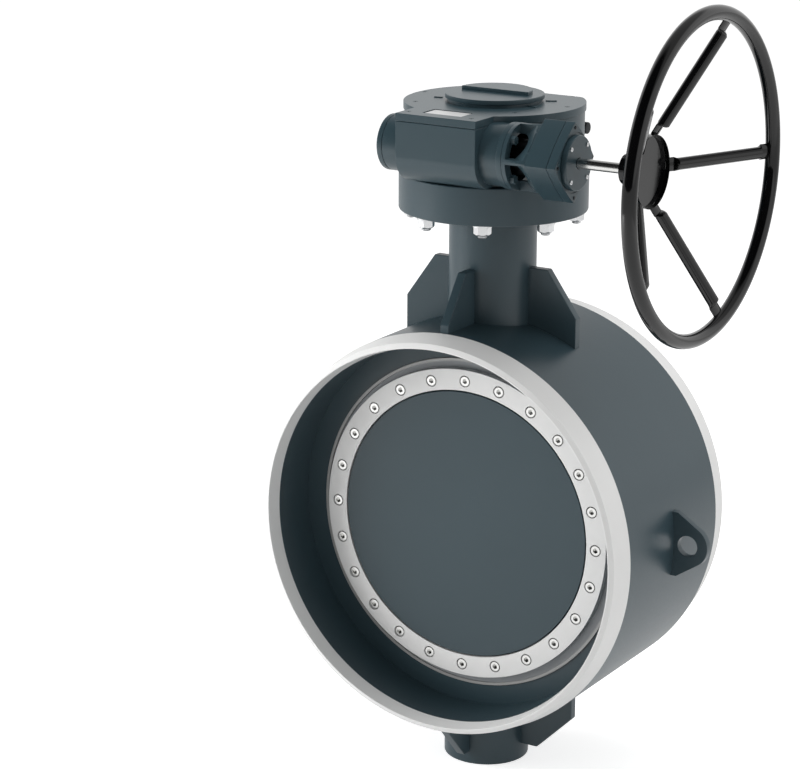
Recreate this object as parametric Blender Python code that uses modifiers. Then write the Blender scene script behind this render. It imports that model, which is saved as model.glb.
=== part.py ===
"""Gear-operated butt-weld butterfly valve, shown closed.

Frame: the origin lies on the stem axis at the height of the pipe's centre line. +Z runs up the
stem, the pipe runs along Y, and the handwheel stands on the +X side. All sizes are in metres.
"""
import math

import bmesh
import bpy
from mathutils import Matrix, Vector

GAP = 0.0003              # left between pieces that touch on the real valve
OVERLAP = 0.001           # how far shapes of one piece reach into each other
CUT_PAST = 0.01           # how far a cut runs past the faces it goes through

# Body
PIPE_RADIUS = 0.254
BARREL_RISE = 0.006       # the barrel stands proud of its weld ends
WALL_THICKNESS = 0.0162
BODY_LENGTH = 0.310
PIPE_OFFSET = 0.006       # the pipe's centre line passes beside the stem
WELD_BEVEL_DEPTH = 0.0058
WELD_FACE_WIDTH = 0.0012
WELD_BEVEL_LENGTH = 0.0027
WELD_TAPER_LENGTH = 0.035
BORE_TAPER_LENGTH = 0.0204
NECK_WALL = 0.0136
NECK_LENGTH = 0.170
STUB_LENGTH = 0.0768
HUB_BOSS_RISE = 0.0078    # flat bosses inside the bore, above and below the disc's hub
HUB_BOSS_LIP = 0.005
RIB_THICKNESS = 0.012
RIB_ROOT_DEPTH = 0.05
TOP_RIB_HEAD_WIDTH = 0.0214
TOP_RIB_HEAD_HEIGHT = 0.0685
TOP_RIB_FOOT_WIDTH = 0.0629
TOP_RIB_FOOT_HEIGHT = 0.0105
TOP_RIB_SIDE_EXTRA = 0.005
BOTTOM_RIB_HEAD_WIDTH = 0.0124
BOTTOM_RIB_HEAD_HEIGHT = 0.060
BOTTOM_RIB_FOOT_WIDTH = 0.0629
BOTTOM_RIB_FOOT_HEIGHT = 0.005
BOTTOM_RIB_SIDE_EXTRA = 0.011
BOTTOM_RIB_SIDE_DROP = 0.005
LUG_THICKNESS = 0.010
LUG_FRONT = -0.001
LUG_HOLE_RISE = 0.0185    # from the barrel to the lifting hole's centre
LUG_HOLE_RADIUS = 0.0133
LUG_NOSE_WALL = 0.0139
LUG_BASE_HALF_HEIGHT = 0.042
LUG_ROOT_DEPTH = 0.02

# Stem, bearings and packing
STEM_RADIUS = 0.030
STEM_TOP_SETBACK = 0.0092
BEARING_WALL = 0.006
BEARING_LENGTH = 0.060
BEARING_INSET = 0.004
PLUG_LENGTH = 0.024
PLUG_RECESS = 0.003
PACKING_WIDTH = 0.012
STUFFING_BOX_DEPTH = 0.090
PACKING_RING_HEIGHT = 0.0155
PACKING_RING_COUNT = 3
GLAND_FLANGE_LIP = 0.008
GLAND_FLANGE_HEIGHT = 0.008
PIN_RADIUS = 0.006
PIN_HEIGHT = 0.120
PIN_STANDS_OUT = 0.001

# Seat and disc
LIP_FRONT = -0.0695
SEAT_REACH = 0.0312       # from the bore to the seat's lip
LIP_DRIFT = 0.003         # the lip's centre lies beside the pipe's centre line
CONE_WIDENING = 0.32
CONE_DRIFT = 0.30
SEAT_MARGIN = 0.0025
SEAT_WALL = 0.0089
SHOULDER_SETBACK = 0.0035
SHOULDER_LENGTH = 0.016
SHOULDER_LEDGE = 0.01
SEAL_THICKNESS = 0.010
SEAL_SCREW_MARGIN = 0.007
RING_THICKNESS = 0.0077
RING_PLAY = 0.0007
RING_CHAMFER = 0.0079
RING_OUTER_MARGIN = 0.0145
RING_INNER_MARGIN = 0.013
DISC_FACE_SETBACK = 0.0005
DISC_FLANGE_PLAY = 0.0076
DISC_FLANGE_LENGTH = 0.014
DISC_BACK_TAPER = 0.020
DISC_DEPTH = 0.0365
HUB_WALL = 0.018
THRUST_RING_THICKNESS = 0.0055
THRUST_RING_MARGIN = 0.002
SCREW_COUNT = 24
SCREW_HEAD_LIP = 0.0025
SCREW_HEAD_HEIGHT = 0.005
SCREW_HEAD_SINK = 0.0013
SCREW_SHANK_RADIUS = 0.004
SCREW_LENGTH = 0.024
SCREW_CLEARANCE = 0.0005

# Mounting flange
FLANGE_DROP = 0.0315      # the flange's underside lies this far below the neck's top
FLANGE_THICKNESS = 0.0477
STUD_CIRCLE_RADIUS = 0.105
STUD_EDGE = 0.0145
STUD_COUNT = 8
STUD_HOLE_RADIUS = 0.007

# Worm drive
WORM_RISE = 0.042         # the worm's axis above the gearbox's underside
WHEEL_TEETH = 48
WORM_MODULE = 0.003
WORM_PITCH_RADIUS = 0.026
WHEEL_FACE = 0.024
WHEEL_HUB_WALL = 0.015
WHEEL_HUB_RISE = 0.004
WORM_THREAD_TURNS = 4
WORM_JOURNAL_RADIUS = 0.012
WORM_BEARING_LENGTH = 0.018
WORM_TUNNEL_CLEARANCE = 0.001
WORM_TOP_ROOM = 0.0067
WORM_END_PLAY = 0.0025
WORM_END_SHOULDER = 0.004
WHEEL_CHAMBER_CLEARANCE = 0.0015
GEAR_BACKLASH = 0.0003

# Gearbox
COVER_THICKNESS = 0.0095
COVER_LIP = 0.0015
BOX_RADIUS = 0.1125
BOX_BACK_WALL = 0.0035
BOX_CORNER_RADIUS = 0.015
BOX_FLOOR_THICKNESS = 0.021
WORM_BOX_LEFT = -0.0575
WORM_BOX_RIGHT = 0.055
WORM_BOX_WALL = 0.015
WORM_BOX_EDGE_RADIUS = 0.035
WORM_NECK_WALL = 0.0085
WORM_NECK_END = 0.080
WORM_FLANGE_LIP = 0.0025
WORM_FLANGE_THICKNESS = 0.008
STOP_SCREW_RADIUS = 0.0075
STOP_SCREW_INSET = 0.0125
STOP_SCREW_RISE = 0.0515
STOP_SCREW_LENGTH = 0.0125
STOP_SCREW_DEPTH = 0.006
END_CAP_WALL = 0.005
END_CAP_LENGTH = 0.009
END_BOSS_LENGTH = 0.0255

# Position indicator
INDICATOR_BOSS_RISE = 0.0036
INDICATOR_BOSS_SETBACK = 0.003
INDICATOR_RADIUS = 0.062
INDICATOR_THICKNESS = 0.0059
POINTER_MARGIN = 0.0145
POINTER_EDGE_Y = -0.001
POINTER_THICKNESS = 0.0047
SPINDLE_RADIUS = 0.010
SPINDLE_DEPTH = 0.010

# Lantern bracket and gearhead
LANTERN_LENGTH = 0.0362
LANTERN_BORE_RADIUS = 0.029
LANTERN_FLANGE_LENGTH = 0.0052
LANTERN_WINDOW_LENGTH = 0.0145
LANTERN_ARM_WIDTH = 0.010
LANTERN_ROOM = 0.003      # cut in the gearbox's round side for the bracket
LANTERN_SETBACK = 0.007   # the bracket's diamond is this much smaller than the gearhead's
GEARHEAD_LENGTH = 0.0295
GEARHEAD_COVER_THICKNESS = 0.012
GEARHEAD_HALF_DIAGONAL = 0.0495
GEARHEAD_SIDE_RISE = 0.0025
GEARHEAD_WALL = 0.0045
GEARHEAD_BORE_RADIUS = 0.0125
PLANET_MODULE = 0.0015
SUN_TEETH = 12
PLANET_TEETH = 12
RING_TEETH = 36
PLANET_COUNT = 3
PLANET_FACE = 0.010
PLANET_BORE_RADIUS = 0.0035
CARRIER_EDGE = 0.0055
CARRIER_THICKNESS = 0.0045
BEARING_COVER_RADIUS = 0.035
BEARING_COVER_THICKNESS = 0.006
INPUT_SHAFT_RADIUS = 0.0068

# Handwheel
WHEEL_DISTANCE = 0.098    # from the bearing cover to the hub plate's front
WHEEL_DISH = 0.066        # from the hub plate's front to the rim's plane
RIM_RADIUS = 0.191
RIM_TUBE_RADIUS = 0.009
SPOKE_COUNT = 5
SPOKE_PHASE = math.radians(2)
SPOKE_TUBE_RADIUS = 0.007
SPOKE_FOOT_LENGTH = 0.0086
HUB_PLATE_RADIUS = 0.0446
HUB_PLATE_THICKNESS = 0.008
WHEEL_BOSS_WALL = 0.0112
WHEEL_BOSS_LENGTH = 0.033

# Facets of round shapes
ROUND_LARGE = 60
ROUND_MEDIUM = 36
ROUND_SMALL = 24
ROUND_PIN = 12
ROUND_TINY = 8

# Worked out from the sizes above: body
HALF_LENGTH = BODY_LENGTH / 2
BARREL_RADIUS = PIPE_RADIUS + BARREL_RISE
BORE_RADIUS = BARREL_RADIUS - WALL_THICKNESS
WALL_MIDDLE = (BORE_RADIUS + BARREL_RADIUS) / 2
WELD_FACE_RADIUS = PIPE_RADIUS - WELD_BEVEL_DEPTH
LUG_REACH = BARREL_RADIUS + LUG_HOLE_RISE
LUG_NOSE_RADIUS = LUG_HOLE_RADIUS + LUG_NOSE_WALL
STEM_BORE_RADIUS = STEM_RADIUS + GAP
STUFFING_BOX_RADIUS = STEM_RADIUS + PACKING_WIDTH
NECK_RADIUS = STUFFING_BOX_RADIUS + NECK_WALL
NECK_TOP = BARREL_RADIUS + NECK_LENGTH
STUFFING_BOX_FLOOR = NECK_TOP - STUFFING_BOX_DEPTH
GLAND_FLANGE_RADIUS = STUFFING_BOX_RADIUS + GLAND_FLANGE_LIP
STUB_BOTTOM = -(BARREL_RADIUS + STUB_LENGTH)
BEARING_OUTER_RADIUS = STEM_RADIUS + BEARING_WALL
HUB_RADIUS = STEM_RADIUS + HUB_WALL
HUB_SEAT_RADIUS = HUB_RADIUS + HUB_BOSS_LIP
HUB_SEAT_HEIGHT = BORE_RADIUS - HUB_BOSS_RISE
HUB_HALF_LENGTH = HUB_SEAT_HEIGHT - THRUST_RING_THICKNESS - 2 * GAP
THRUST_RING_RADIUS = HUB_RADIUS - THRUST_RING_MARGIN
PLUG_BOTTOM = STUB_BOTTOM + PLUG_RECESS
STEM_BOTTOM = PLUG_BOTTOM + PLUG_LENGTH + GAP

# Seat and disc
LIP_RADIUS = BORE_RADIUS - SEAT_REACH
LIP_CENTRE = PIPE_OFFSET + LIP_DRIFT
SEAT_DEPTH = SEAL_THICKNESS + SEAT_MARGIN
SEAT_BACK = LIP_FRONT + SEAT_DEPTH
SEAT_OUTER_RADIUS = LIP_RADIUS + SEAT_WALL
SEAL_BACK = LIP_FRONT + SEAL_THICKNESS
RING_BACK = LIP_FRONT - GAP
RING_FRONT = RING_BACK - RING_THICKNESS
RING_BACK_RADIUS = LIP_RADIUS - RING_PLAY
RING_FRONT_RADIUS = RING_BACK_RADIUS - RING_CHAMFER
SCREW_HEAD_RADIUS = SCREW_SHANK_RADIUS + SCREW_HEAD_LIP
SCREW_CIRCLE_RADIUS = RING_FRONT_RADIUS - RING_OUTER_MARGIN
RING_INNER_RADIUS = SCREW_CIRCLE_RADIUS - RING_INNER_MARGIN
SEAL_INNER_RADIUS = SCREW_CIRCLE_RADIUS + SEAL_SCREW_MARGIN
DISC_FLANGE_RADIUS = LIP_RADIUS - DISC_FLANGE_PLAY
DISC_BACK_RADIUS = DISC_FLANGE_RADIUS - DISC_BACK_TAPER
DISC_BACK = LIP_FRONT + DISC_DEPTH

# Flange, gearbox and worm drive
FLANGE_BOTTOM = NECK_TOP - FLANGE_DROP
FLANGE_TOP = FLANGE_BOTTOM + FLANGE_THICKNESS
FLANGE_RADIUS = STUD_CIRCLE_RADIUS + STUD_EDGE
BOX_BOTTOM = FLANGE_TOP + GAP
BOX_FLOOR = BOX_BOTTOM + BOX_FLOOR_THICKNESS
WHEEL_PITCH_RADIUS = WHEEL_TEETH * WORM_MODULE / 2
WHEEL_HUB_RADIUS = STEM_RADIUS + WHEEL_HUB_WALL
CHAMBER_RADIUS = WHEEL_PITCH_RADIUS + WORM_MODULE + WHEEL_CHAMBER_CLEARANCE
WORM_Y = -(WHEEL_PITCH_RADIUS + WORM_PITCH_RADIUS)
WORM_HEIGHT = BOX_BOTTOM + WORM_RISE
WORM_TIP_RADIUS = WORM_PITCH_RADIUS + WORM_MODULE
WORM_PITCH = math.pi * WORM_MODULE
LEAD_SLOPE = WORM_PITCH / (2 * math.pi * WORM_PITCH_RADIUS)
WORM_TUNNEL_RADIUS = WORM_TIP_RADIUS + WORM_TUNNEL_CLEARANCE
WORM_END_RADIUS = GEARHEAD_BORE_RADIUS - WORM_END_PLAY
WORM_BOX_FRONT = WORM_Y - WORM_TUNNEL_RADIUS - WORM_BOX_WALL
WORM_NECK_RADIUS = WORM_TUNNEL_RADIUS + WORM_NECK_WALL
WORM_FLANGE_RADIUS = WORM_NECK_RADIUS + WORM_FLANGE_LIP
WORM_FLANGE_END = WORM_NECK_END + WORM_FLANGE_THICKNESS
END_CAP_RADIUS = WORM_TUNNEL_RADIUS + END_CAP_WALL
BOX_BACK = CHAMBER_RADIUS + BOX_BACK_WALL
BOX_SEAM = WORM_HEIGHT + WORM_TIP_RADIUS + WORM_TOP_ROOM
COVER_RADIUS = BOX_RADIUS + COVER_LIP
COVER_TOP = BOX_SEAM + GAP + COVER_THICKNESS
STEM_TOP = BOX_SEAM - STEM_TOP_SETBACK
STOP_SCREW_Y = BOX_BACK - STOP_SCREW_INSET
STOP_SCREW_HEIGHT = BOX_BOTTOM + STOP_SCREW_RISE
INDICATOR_BOSS_RADIUS = INDICATOR_RADIUS - INDICATOR_BOSS_SETBACK
INDICATOR_BOSS_TOP = COVER_TOP + INDICATOR_BOSS_RISE
INDICATOR_BOTTOM = INDICATOR_BOSS_TOP + GAP
INDICATOR_TOP = INDICATOR_BOTTOM + INDICATOR_THICKNESS
POINTER_RADIUS = INDICATOR_RADIUS - POINTER_MARGIN

# Gearhead and handwheel
LANTERN_END = WORM_FLANGE_END + LANTERN_LENGTH
GEARHEAD_BACK = LANTERN_END + GAP
GEARHEAD_SEAM = GEARHEAD_BACK + GEARHEAD_LENGTH
GEARHEAD_FRONT = GEARHEAD_SEAM + GEARHEAD_COVER_THICKNESS
SUN_CENTRE_DISTANCE = PLANET_MODULE * (SUN_TEETH + PLANET_TEETH) / 2
CARRIER_RADIUS = SUN_CENTRE_DISTANCE + CARRIER_EDGE
CARRIER_BACK = GEARHEAD_BACK + GEARHEAD_WALL + GAP
CARRIER_FRONT = CARRIER_BACK + CARRIER_THICKNESS
PLANET_BACK = CARRIER_FRONT + GAP
BEARING_COVER_FRONT = GEARHEAD_FRONT + BEARING_COVER_THICKNESS
HUB_PLATE_FRONT = BEARING_COVER_FRONT + WHEEL_DISTANCE
WHEEL_BOSS_RADIUS = INPUT_SHAFT_RADIUS + WHEEL_BOSS_WALL
WHEEL_BOSS_BACK = HUB_PLATE_FRONT - WHEEL_BOSS_LENGTH
WHEEL_PLANE = HUB_PLATE_FRONT + WHEEL_DISH
SPOKE_START_RADIUS = HUB_PLATE_RADIUS - SPOKE_FOOT_LENGTH

ALONG_Y = (-math.pi / 2, 0, 0)   # turns a piece's own Z onto the pipe's direction
ALONG_X = (0, math.pi / 2, 0)    # turns a piece's own Z onto the worm's direction
WORM_AXIS = (0, WORM_Y, WORM_HEIGHT)
PIPE_CENTRE = (PIPE_OFFSET, 0, 0)

FINISHES = {
    # name: (colour, roughness, metallic)
    "painted_steel": ((0.085, 0.110, 0.125), 0.42, 0.1),
    "painted_iron": ((0.095, 0.120, 0.135), 0.45, 0.1),
    "stainless_steel": ((0.58, 0.58, 0.57), 0.30, 1.0),
    "carbon_steel": ((0.40, 0.40, 0.40), 0.38, 1.0),
    "bronze": ((0.45, 0.30, 0.14), 0.40, 1.0),
    "graphite": ((0.03, 0.03, 0.03), 0.70, 0.0),
    "zinc_steel": ((0.70, 0.70, 0.68), 0.35, 1.0),
    "black_enamel": ((0.012, 0.012, 0.013), 0.22, 0.0),
}


def remove_start_objects():
    for old in list(bpy.data.objects):
        bpy.data.objects.remove(old, do_unlink=True)


def make_collection(name):
    collection = bpy.data.collections.new(name)
    bpy.context.scene.collection.children.link(collection)
    return collection


def finish_material(name, finish):
    """Each piece has a material of its own, named for the piece."""
    colour, roughness, metallic = FINISHES[finish]
    material = bpy.data.materials.new(name + "_" + finish)
    material.use_nodes = True
    shader = material.node_tree.nodes["Principled BSDF"]
    shader.inputs["Base Color"].default_value = (*colour, 1)
    shader.inputs["Roughness"].default_value = roughness
    shader.inputs["Metallic"].default_value = metallic
    return material


def place(piece, collection, location=(0, 0, 0), rotation=(0, 0, 0)):
    collection.objects.link(piece)
    piece.location = location
    piece.rotation_euler = rotation
    return piece


def as_part(piece, finish):
    """Keep this object as a finished piece of the valve."""
    piece.data.materials.clear()
    piece.data.materials.append(finish_material(piece.name, finish))
    return piece


def as_cutter(piece):
    piece.hide_render = True
    piece.display_type = "WIRE"
    for collection in list(piece.users_collection):
        collection.objects.unlink(piece)
    CUTTERS.objects.link(piece)
    return piece


def combine(piece, operand, operation):
    boolean = piece.modifiers.new(operand.name, "BOOLEAN")
    boolean.operation = operation
    boolean.solver = "EXACT"
    boolean.object = as_cutter(operand)


def cut(piece, *cutters):
    for cutter in cutters:
        combine(piece, cutter, "DIFFERENCE")


def join(piece, *additions):
    for addition in additions:
        combine(piece, addition, "UNION")


def arc(centre_x, centre_y, radius, start, end, count):
    """Points on an arc, with both ends, angles in radians."""
    points = []
    for step in range(count + 1):
        angle = start + (end - start) * step / count
        points.append((centre_x + radius * math.cos(angle), centre_y + radius * math.sin(angle)))
    return points


def mesh_object(name, bm):
    mesh = bpy.data.meshes.new(name)
    bm.to_mesh(mesh)
    bm.free()
    mesh.shade_smooth()
    mesh.set_sharp_from_angle(angle=math.radians(35))
    return bpy.data.objects.new(name, mesh)


def turned(name, profile, facets, location=(0, 0, 0), rotation=(0, 0, 0)):
    """A shape turned about its own Z from (radius, height) points, outer side top to bottom."""
    bm = bmesh.new()
    corners = [bm.verts.new((radius, 0, height)) for radius, height in profile]
    for first, second in zip(corners, corners[1:]):
        bm.edges.new((first, second))
    if profile[0][0] > 0:
        bm.edges.new((corners[-1], corners[0]))
    piece = mesh_object(name, bm)
    screw = piece.modifiers.new("turn", "SCREW")
    screw.steps = facets
    screw.render_steps = facets
    screw.use_merge_vertices = True
    screw.merge_threshold = 0.00001
    return place(piece, PARTS, location, rotation)


def cylinder(name, radius, bottom, top, facets, location=(0, 0, 0), rotation=(0, 0, 0)):
    """A cylinder on its own Z, from bottom to top."""
    bm = bmesh.new()
    bmesh.ops.create_cone(bm, cap_ends=True, segments=facets, radius1=radius, radius2=radius,
                          depth=top - bottom)
    bmesh.ops.translate(bm, verts=bm.verts, vec=(0, 0, (top + bottom) / 2))
    return place(mesh_object(name, bm), PARTS, location, rotation)


def ring(name, outer, inner, bottom, top, facets, location=(0, 0, 0), rotation=(0, 0, 0)):
    profile = [(outer, top), (outer, bottom), (inner, bottom), (inner, top)]
    return turned(name, profile, facets, location, rotation)


def box(name, low, high):
    bm = bmesh.new()
    bmesh.ops.create_cube(bm, size=1)
    size = [b - a for a, b in zip(low, high)]
    centre = [(a + b) / 2 for a, b in zip(low, high)]
    bmesh.ops.scale(bm, verts=bm.verts, vec=size)
    bmesh.ops.translate(bm, verts=bm.verts, vec=centre)
    return place(mesh_object(name, bm), PARTS)


def plate(name, outline, thickness, location=(0, 0, 0), rotation=(0, 0, 0)):
    """A flat outline as a filled 2D curve, extruded equally to both sides of its plane."""
    curve = bpy.data.curves.new(name, "CURVE")
    curve.dimensions = "2D"
    curve.fill_mode = "BOTH"
    curve.extrude = thickness / 2
    spline = curve.splines.new("POLY")
    spline.points.add(len(outline) - 1)
    for point, (x, y) in zip(spline.points, outline):
        point.co = (x, y, 0, 1)
    spline.use_cyclic_u = True
    guide = place(bpy.data.objects.new(name, curve), PARTS, location, rotation)
    return curve_to_mesh(guide)


def curve_to_mesh(guide):
    """The same shape as a closed mesh, so that it can be cut or joined."""
    name = guide.name
    bpy.context.view_layer.update()
    evaluated = guide.evaluated_get(bpy.context.evaluated_depsgraph_get())
    mesh = bpy.data.meshes.new_from_object(evaluated)
    bm = bmesh.new()
    bm.from_mesh(mesh)
    bmesh.ops.remove_doubles(bm, verts=bm.verts, dist=0.000001)
    matrix = guide.matrix_world.copy()
    bpy.data.objects.remove(guide, do_unlink=True)
    bpy.data.meshes.remove(mesh)
    piece = mesh_object(name, bm)
    PARTS.objects.link(piece)
    piece.matrix_world = matrix
    return piece


def swept(name, outline, axis, angle, advance, steps, location=(0, 0, 0), rotation=(0, 0, 0)):
    """Sweep a closed outline about an axis through the origin while it advances along it."""
    bm = bmesh.new()
    face = bm.faces.new([bm.verts.new(point) for point in outline])
    geometry = [face] + list(face.edges) + list(face.verts)
    bmesh.ops.spin(bm, geom=geometry, cent=(0, 0, 0), axis=axis, angle=angle, steps=steps,
                   dvec=[value / steps for value in advance])
    bmesh.ops.recalc_face_normals(bm, faces=bm.faces)
    return place(mesh_object(name, bm), PARTS, location, rotation)


def involute_angle(radius, base_radius):
    if radius <= base_radius:
        return 0
    tangent = math.sqrt((radius / base_radius) ** 2 - 1)
    return tangent - math.atan(tangent)


def gear_outline(teeth, module, pressure_degrees, radii, thickness_change, phase):
    """Corners of a spur gear with its first tooth centred on the angle phase. The radii are
    those of the flank's points, from its root to its tip."""
    pitch = teeth * module / 2
    base = pitch * math.cos(math.radians(pressure_degrees))
    half = math.pi / (2 * teeth) + thickness_change / (2 * pitch)
    half_at_base = half + involute_angle(pitch, base)
    flank = [(radius, half_at_base - involute_angle(radius, base)) for radius in radii]
    points = []
    for tooth in range(teeth):
        centre = phase + 2 * math.pi * tooth / teeth
        for radius, spread in flank:
            points.append((radius * math.cos(centre - spread), radius * math.sin(centre - spread)))
        for radius, spread in reversed(flank):
            points.append((radius * math.cos(centre + spread), radius * math.sin(centre + spread)))
    return points


def around(count, start=0.0):
    """Angles of a pattern spread evenly around a circle."""
    return [start + 2 * math.pi * index / count for index in range(count)]


# Body -----------------------------------------------------------------------------------------

def barrel():
    """The forged barrel, turned with its two weld ends and its tapered bore."""
    bore_end = WELD_FACE_RADIUS - WELD_FACE_WIDTH
    rear_end = [
        (bore_end, HALF_LENGTH),
        (WELD_FACE_RADIUS, HALF_LENGTH),
        (PIPE_RADIUS, HALF_LENGTH - WELD_BEVEL_LENGTH),
        (BARREL_RADIUS, HALF_LENGTH - WELD_TAPER_LENGTH),
    ]
    front_end = [(radius, -height) for radius, height in reversed(rear_end)]
    bore_straight = HALF_LENGTH - BORE_TAPER_LENGTH
    bore = [(BORE_RADIUS, -bore_straight), (BORE_RADIUS, bore_straight)]
    return turned("body_shell", rear_end + front_end + bore, ROUND_LARGE, PIPE_CENTRE, ALONG_Y)


def rib(name, reach, level, foot_reach, foot_level, turn):
    """A gusset between the barrel and the neck or stub: an outline in X and Z."""
    inside = NECK_RADIUS / 2
    root = math.copysign(BORE_RADIUS - RIB_ROOT_DEPTH, level)
    outline = [(inside, root), (inside, level), (reach, level), (foot_reach, foot_level),
               (foot_reach, root)]
    upright = Matrix.Rotation(turn, 4, "Z") @ Matrix.Rotation(math.pi / 2, 4, "X")
    return plate(name, outline, RIB_THICKNESS, (0, 0, 0), upright.to_euler())


def ribs():
    """Eight gussets. The four beside the bore reach further out than the four along it."""
    gussets = []
    for index, turn in enumerate(around(4)):
        beside = index % 2 == 0
        extra = TOP_RIB_SIDE_EXTRA if beside else 0
        gussets.append(rib(f"top_rib_{index}", NECK_RADIUS + TOP_RIB_HEAD_WIDTH + extra,
                           BARREL_RADIUS + TOP_RIB_HEAD_HEIGHT,
                           NECK_RADIUS + TOP_RIB_FOOT_WIDTH + extra,
                           BARREL_RADIUS + TOP_RIB_FOOT_HEIGHT, turn))
        extra = BOTTOM_RIB_SIDE_EXTRA if beside else 0
        drop = BOTTOM_RIB_SIDE_DROP if beside else 0
        gussets.append(rib(f"bottom_rib_{index}", NECK_RADIUS + BOTTOM_RIB_HEAD_WIDTH + extra,
                           drop - BARREL_RADIUS - BOTTOM_RIB_HEAD_HEIGHT,
                           NECK_RADIUS + BOTTOM_RIB_FOOT_WIDTH + extra,
                           -BARREL_RADIUS - BOTTOM_RIB_FOOT_HEIGHT, turn))
    return gussets


def lifting_lug(name, side):
    """A welded plate with a hole, round at its nose and widening to its base."""
    base_x = BARREL_RADIUS * math.cos(math.asin(LUG_BASE_HALF_HEIGHT / BARREL_RADIUS))
    to_base = math.hypot(LUG_REACH - base_x, LUG_BASE_HALF_HEIGHT)
    lean = math.atan2(LUG_BASE_HALF_HEIGHT, base_x - LUG_REACH)
    tangent = lean - math.acos(LUG_NOSE_RADIUS / to_base)
    inside = WALL_MIDDLE - LUG_ROOT_DEPTH
    outline = [(inside, LUG_BASE_HALF_HEIGHT), (inside, -LUG_BASE_HALF_HEIGHT),
               (base_x, -LUG_BASE_HALF_HEIGHT)]
    outline += arc(LUG_REACH, 0, LUG_NOSE_RADIUS, -tangent, tangent, 10)
    outline.append((base_x, LUG_BASE_HALF_HEIGHT))
    outline = [(side * x, y) for x, y in outline]
    middle = LUG_FRONT + LUG_THICKNESS / 2
    blank = plate(name, outline, LUG_THICKNESS, (PIPE_OFFSET, middle, 0), (math.pi / 2, 0, 0))
    hole_centre = (PIPE_OFFSET + side * LUG_REACH, middle, 0)
    hole = cylinder(name + "_hole", LUG_HOLE_RADIUS, -LUG_THICKNESS, LUG_THICKNESS,
                    ROUND_SMALL, hole_centre, ALONG_Y)
    return blank, hole


def outer_fittings():
    """Neck, stub, gussets and lugs, cut back to the middle of the barrel's wall."""
    fittings = cylinder("outer_fittings", NECK_RADIUS, 0, NECK_TOP, ROUND_MEDIUM)
    join(fittings, cylinder("stub", NECK_RADIUS, STUB_BOTTOM, OVERLAP, ROUND_MEDIUM))
    join(fittings, *ribs())
    lug_holes = []
    for name, side in (("lug_right", 1), ("lug_left", -1)):
        blank, hole = lifting_lug(name, side)
        join(fittings, blank)
        lug_holes.append(hole)
    cut(fittings, *lug_holes)
    cut(fittings, cylinder("barrel_middle", WALL_MIDDLE, -HALF_LENGTH, HALF_LENGTH, ROUND_LARGE,
                           PIPE_CENTRE, ALONG_Y))
    return fittings


def body_shell():
    """Barrel, neck, bottom stub, gussets and lifting lugs, welded into one pressure body."""
    body = barrel()
    join(body, outer_fittings())
    join(body, cylinder("upper_seat_boss", HUB_SEAT_RADIUS, HUB_SEAT_HEIGHT, BARREL_RADIUS,
                        ROUND_MEDIUM))
    join(body, cylinder("lower_seat_boss", HUB_SEAT_RADIUS, -BARREL_RADIUS, -HUB_SEAT_HEIGHT,
                        ROUND_MEDIUM))
    shoulder_front = LIP_FRONT + SHOULDER_SETBACK
    shoulder_back = shoulder_front + SHOULDER_LENGTH
    join(body, ring("seat_shoulder", WALL_MIDDLE, SEAT_OUTER_RADIUS - SHOULDER_LEDGE, shoulder_front,
                    shoulder_back, ROUND_LARGE, PIPE_CENTRE, ALONG_Y))
    cut(body, cylinder("seat_recess", SEAT_OUTER_RADIUS + GAP, LIP_FRONT - CUT_PAST,
                       shoulder_back + CUT_PAST, ROUND_LARGE, (LIP_CENTRE, 0, 0), ALONG_Y))
    bearing_bore = BEARING_OUTER_RADIUS + GAP
    bearing_end = HUB_SEAT_HEIGHT + BEARING_INSET + BEARING_LENGTH
    cut(body, cylinder("stem_bore", STEM_RADIUS + 3 * GAP, bearing_end - CUT_PAST, NECK_TOP + CUT_PAST,
                       ROUND_SMALL))
    cut(body, cylinder("upper_bearing_bore", bearing_bore, HUB_SEAT_HEIGHT - CUT_PAST, bearing_end,
                       ROUND_SMALL))
    cut(body, cylinder("lower_bearing_bore", bearing_bore, STUB_BOTTOM - CUT_PAST,
                       -HUB_SEAT_HEIGHT + CUT_PAST, ROUND_SMALL))
    cut(body, cylinder("stuffing_box", STUFFING_BOX_RADIUS, STUFFING_BOX_FLOOR, NECK_TOP + CUT_PAST,
                       ROUND_SMALL))
    return as_part(body, "painted_steel")


# Stem, bearings and packing -------------------------------------------------------------------

def stem():
    shaft = cylinder("stem", STEM_RADIUS, STEM_BOTTOM, STEM_TOP, ROUND_SMALL)
    cut(shaft, cylinder("spindle_socket", SPINDLE_RADIUS + GAP, STEM_TOP - SPINDLE_DEPTH - GAP,
                        STEM_TOP + CUT_PAST, ROUND_SMALL))
    for name, height in (("upper", PIN_HEIGHT), ("lower", -PIN_HEIGHT)):
        cut(shaft, cylinder(f"stem_{name}_pin_hole", PIN_RADIUS + GAP, -HUB_RADIUS, HUB_RADIUS, ROUND_TINY,
                            (0, 0, height), ALONG_Y))
    return as_part(shaft, "stainless_steel")


def disc_pins():
    """Pins that lock the disc's hub to the stem, driven in from the back."""
    for name, height in (("upper", PIN_HEIGHT), ("lower", -PIN_HEIGHT)):
        pin = cylinder(f"disc_pin_{name}", PIN_RADIUS, DISC_BACK + GAP, HUB_RADIUS + PIN_STANDS_OUT,
                       ROUND_TINY, (0, 0, height), ALONG_Y)
        as_part(pin, "stainless_steel")


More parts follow.
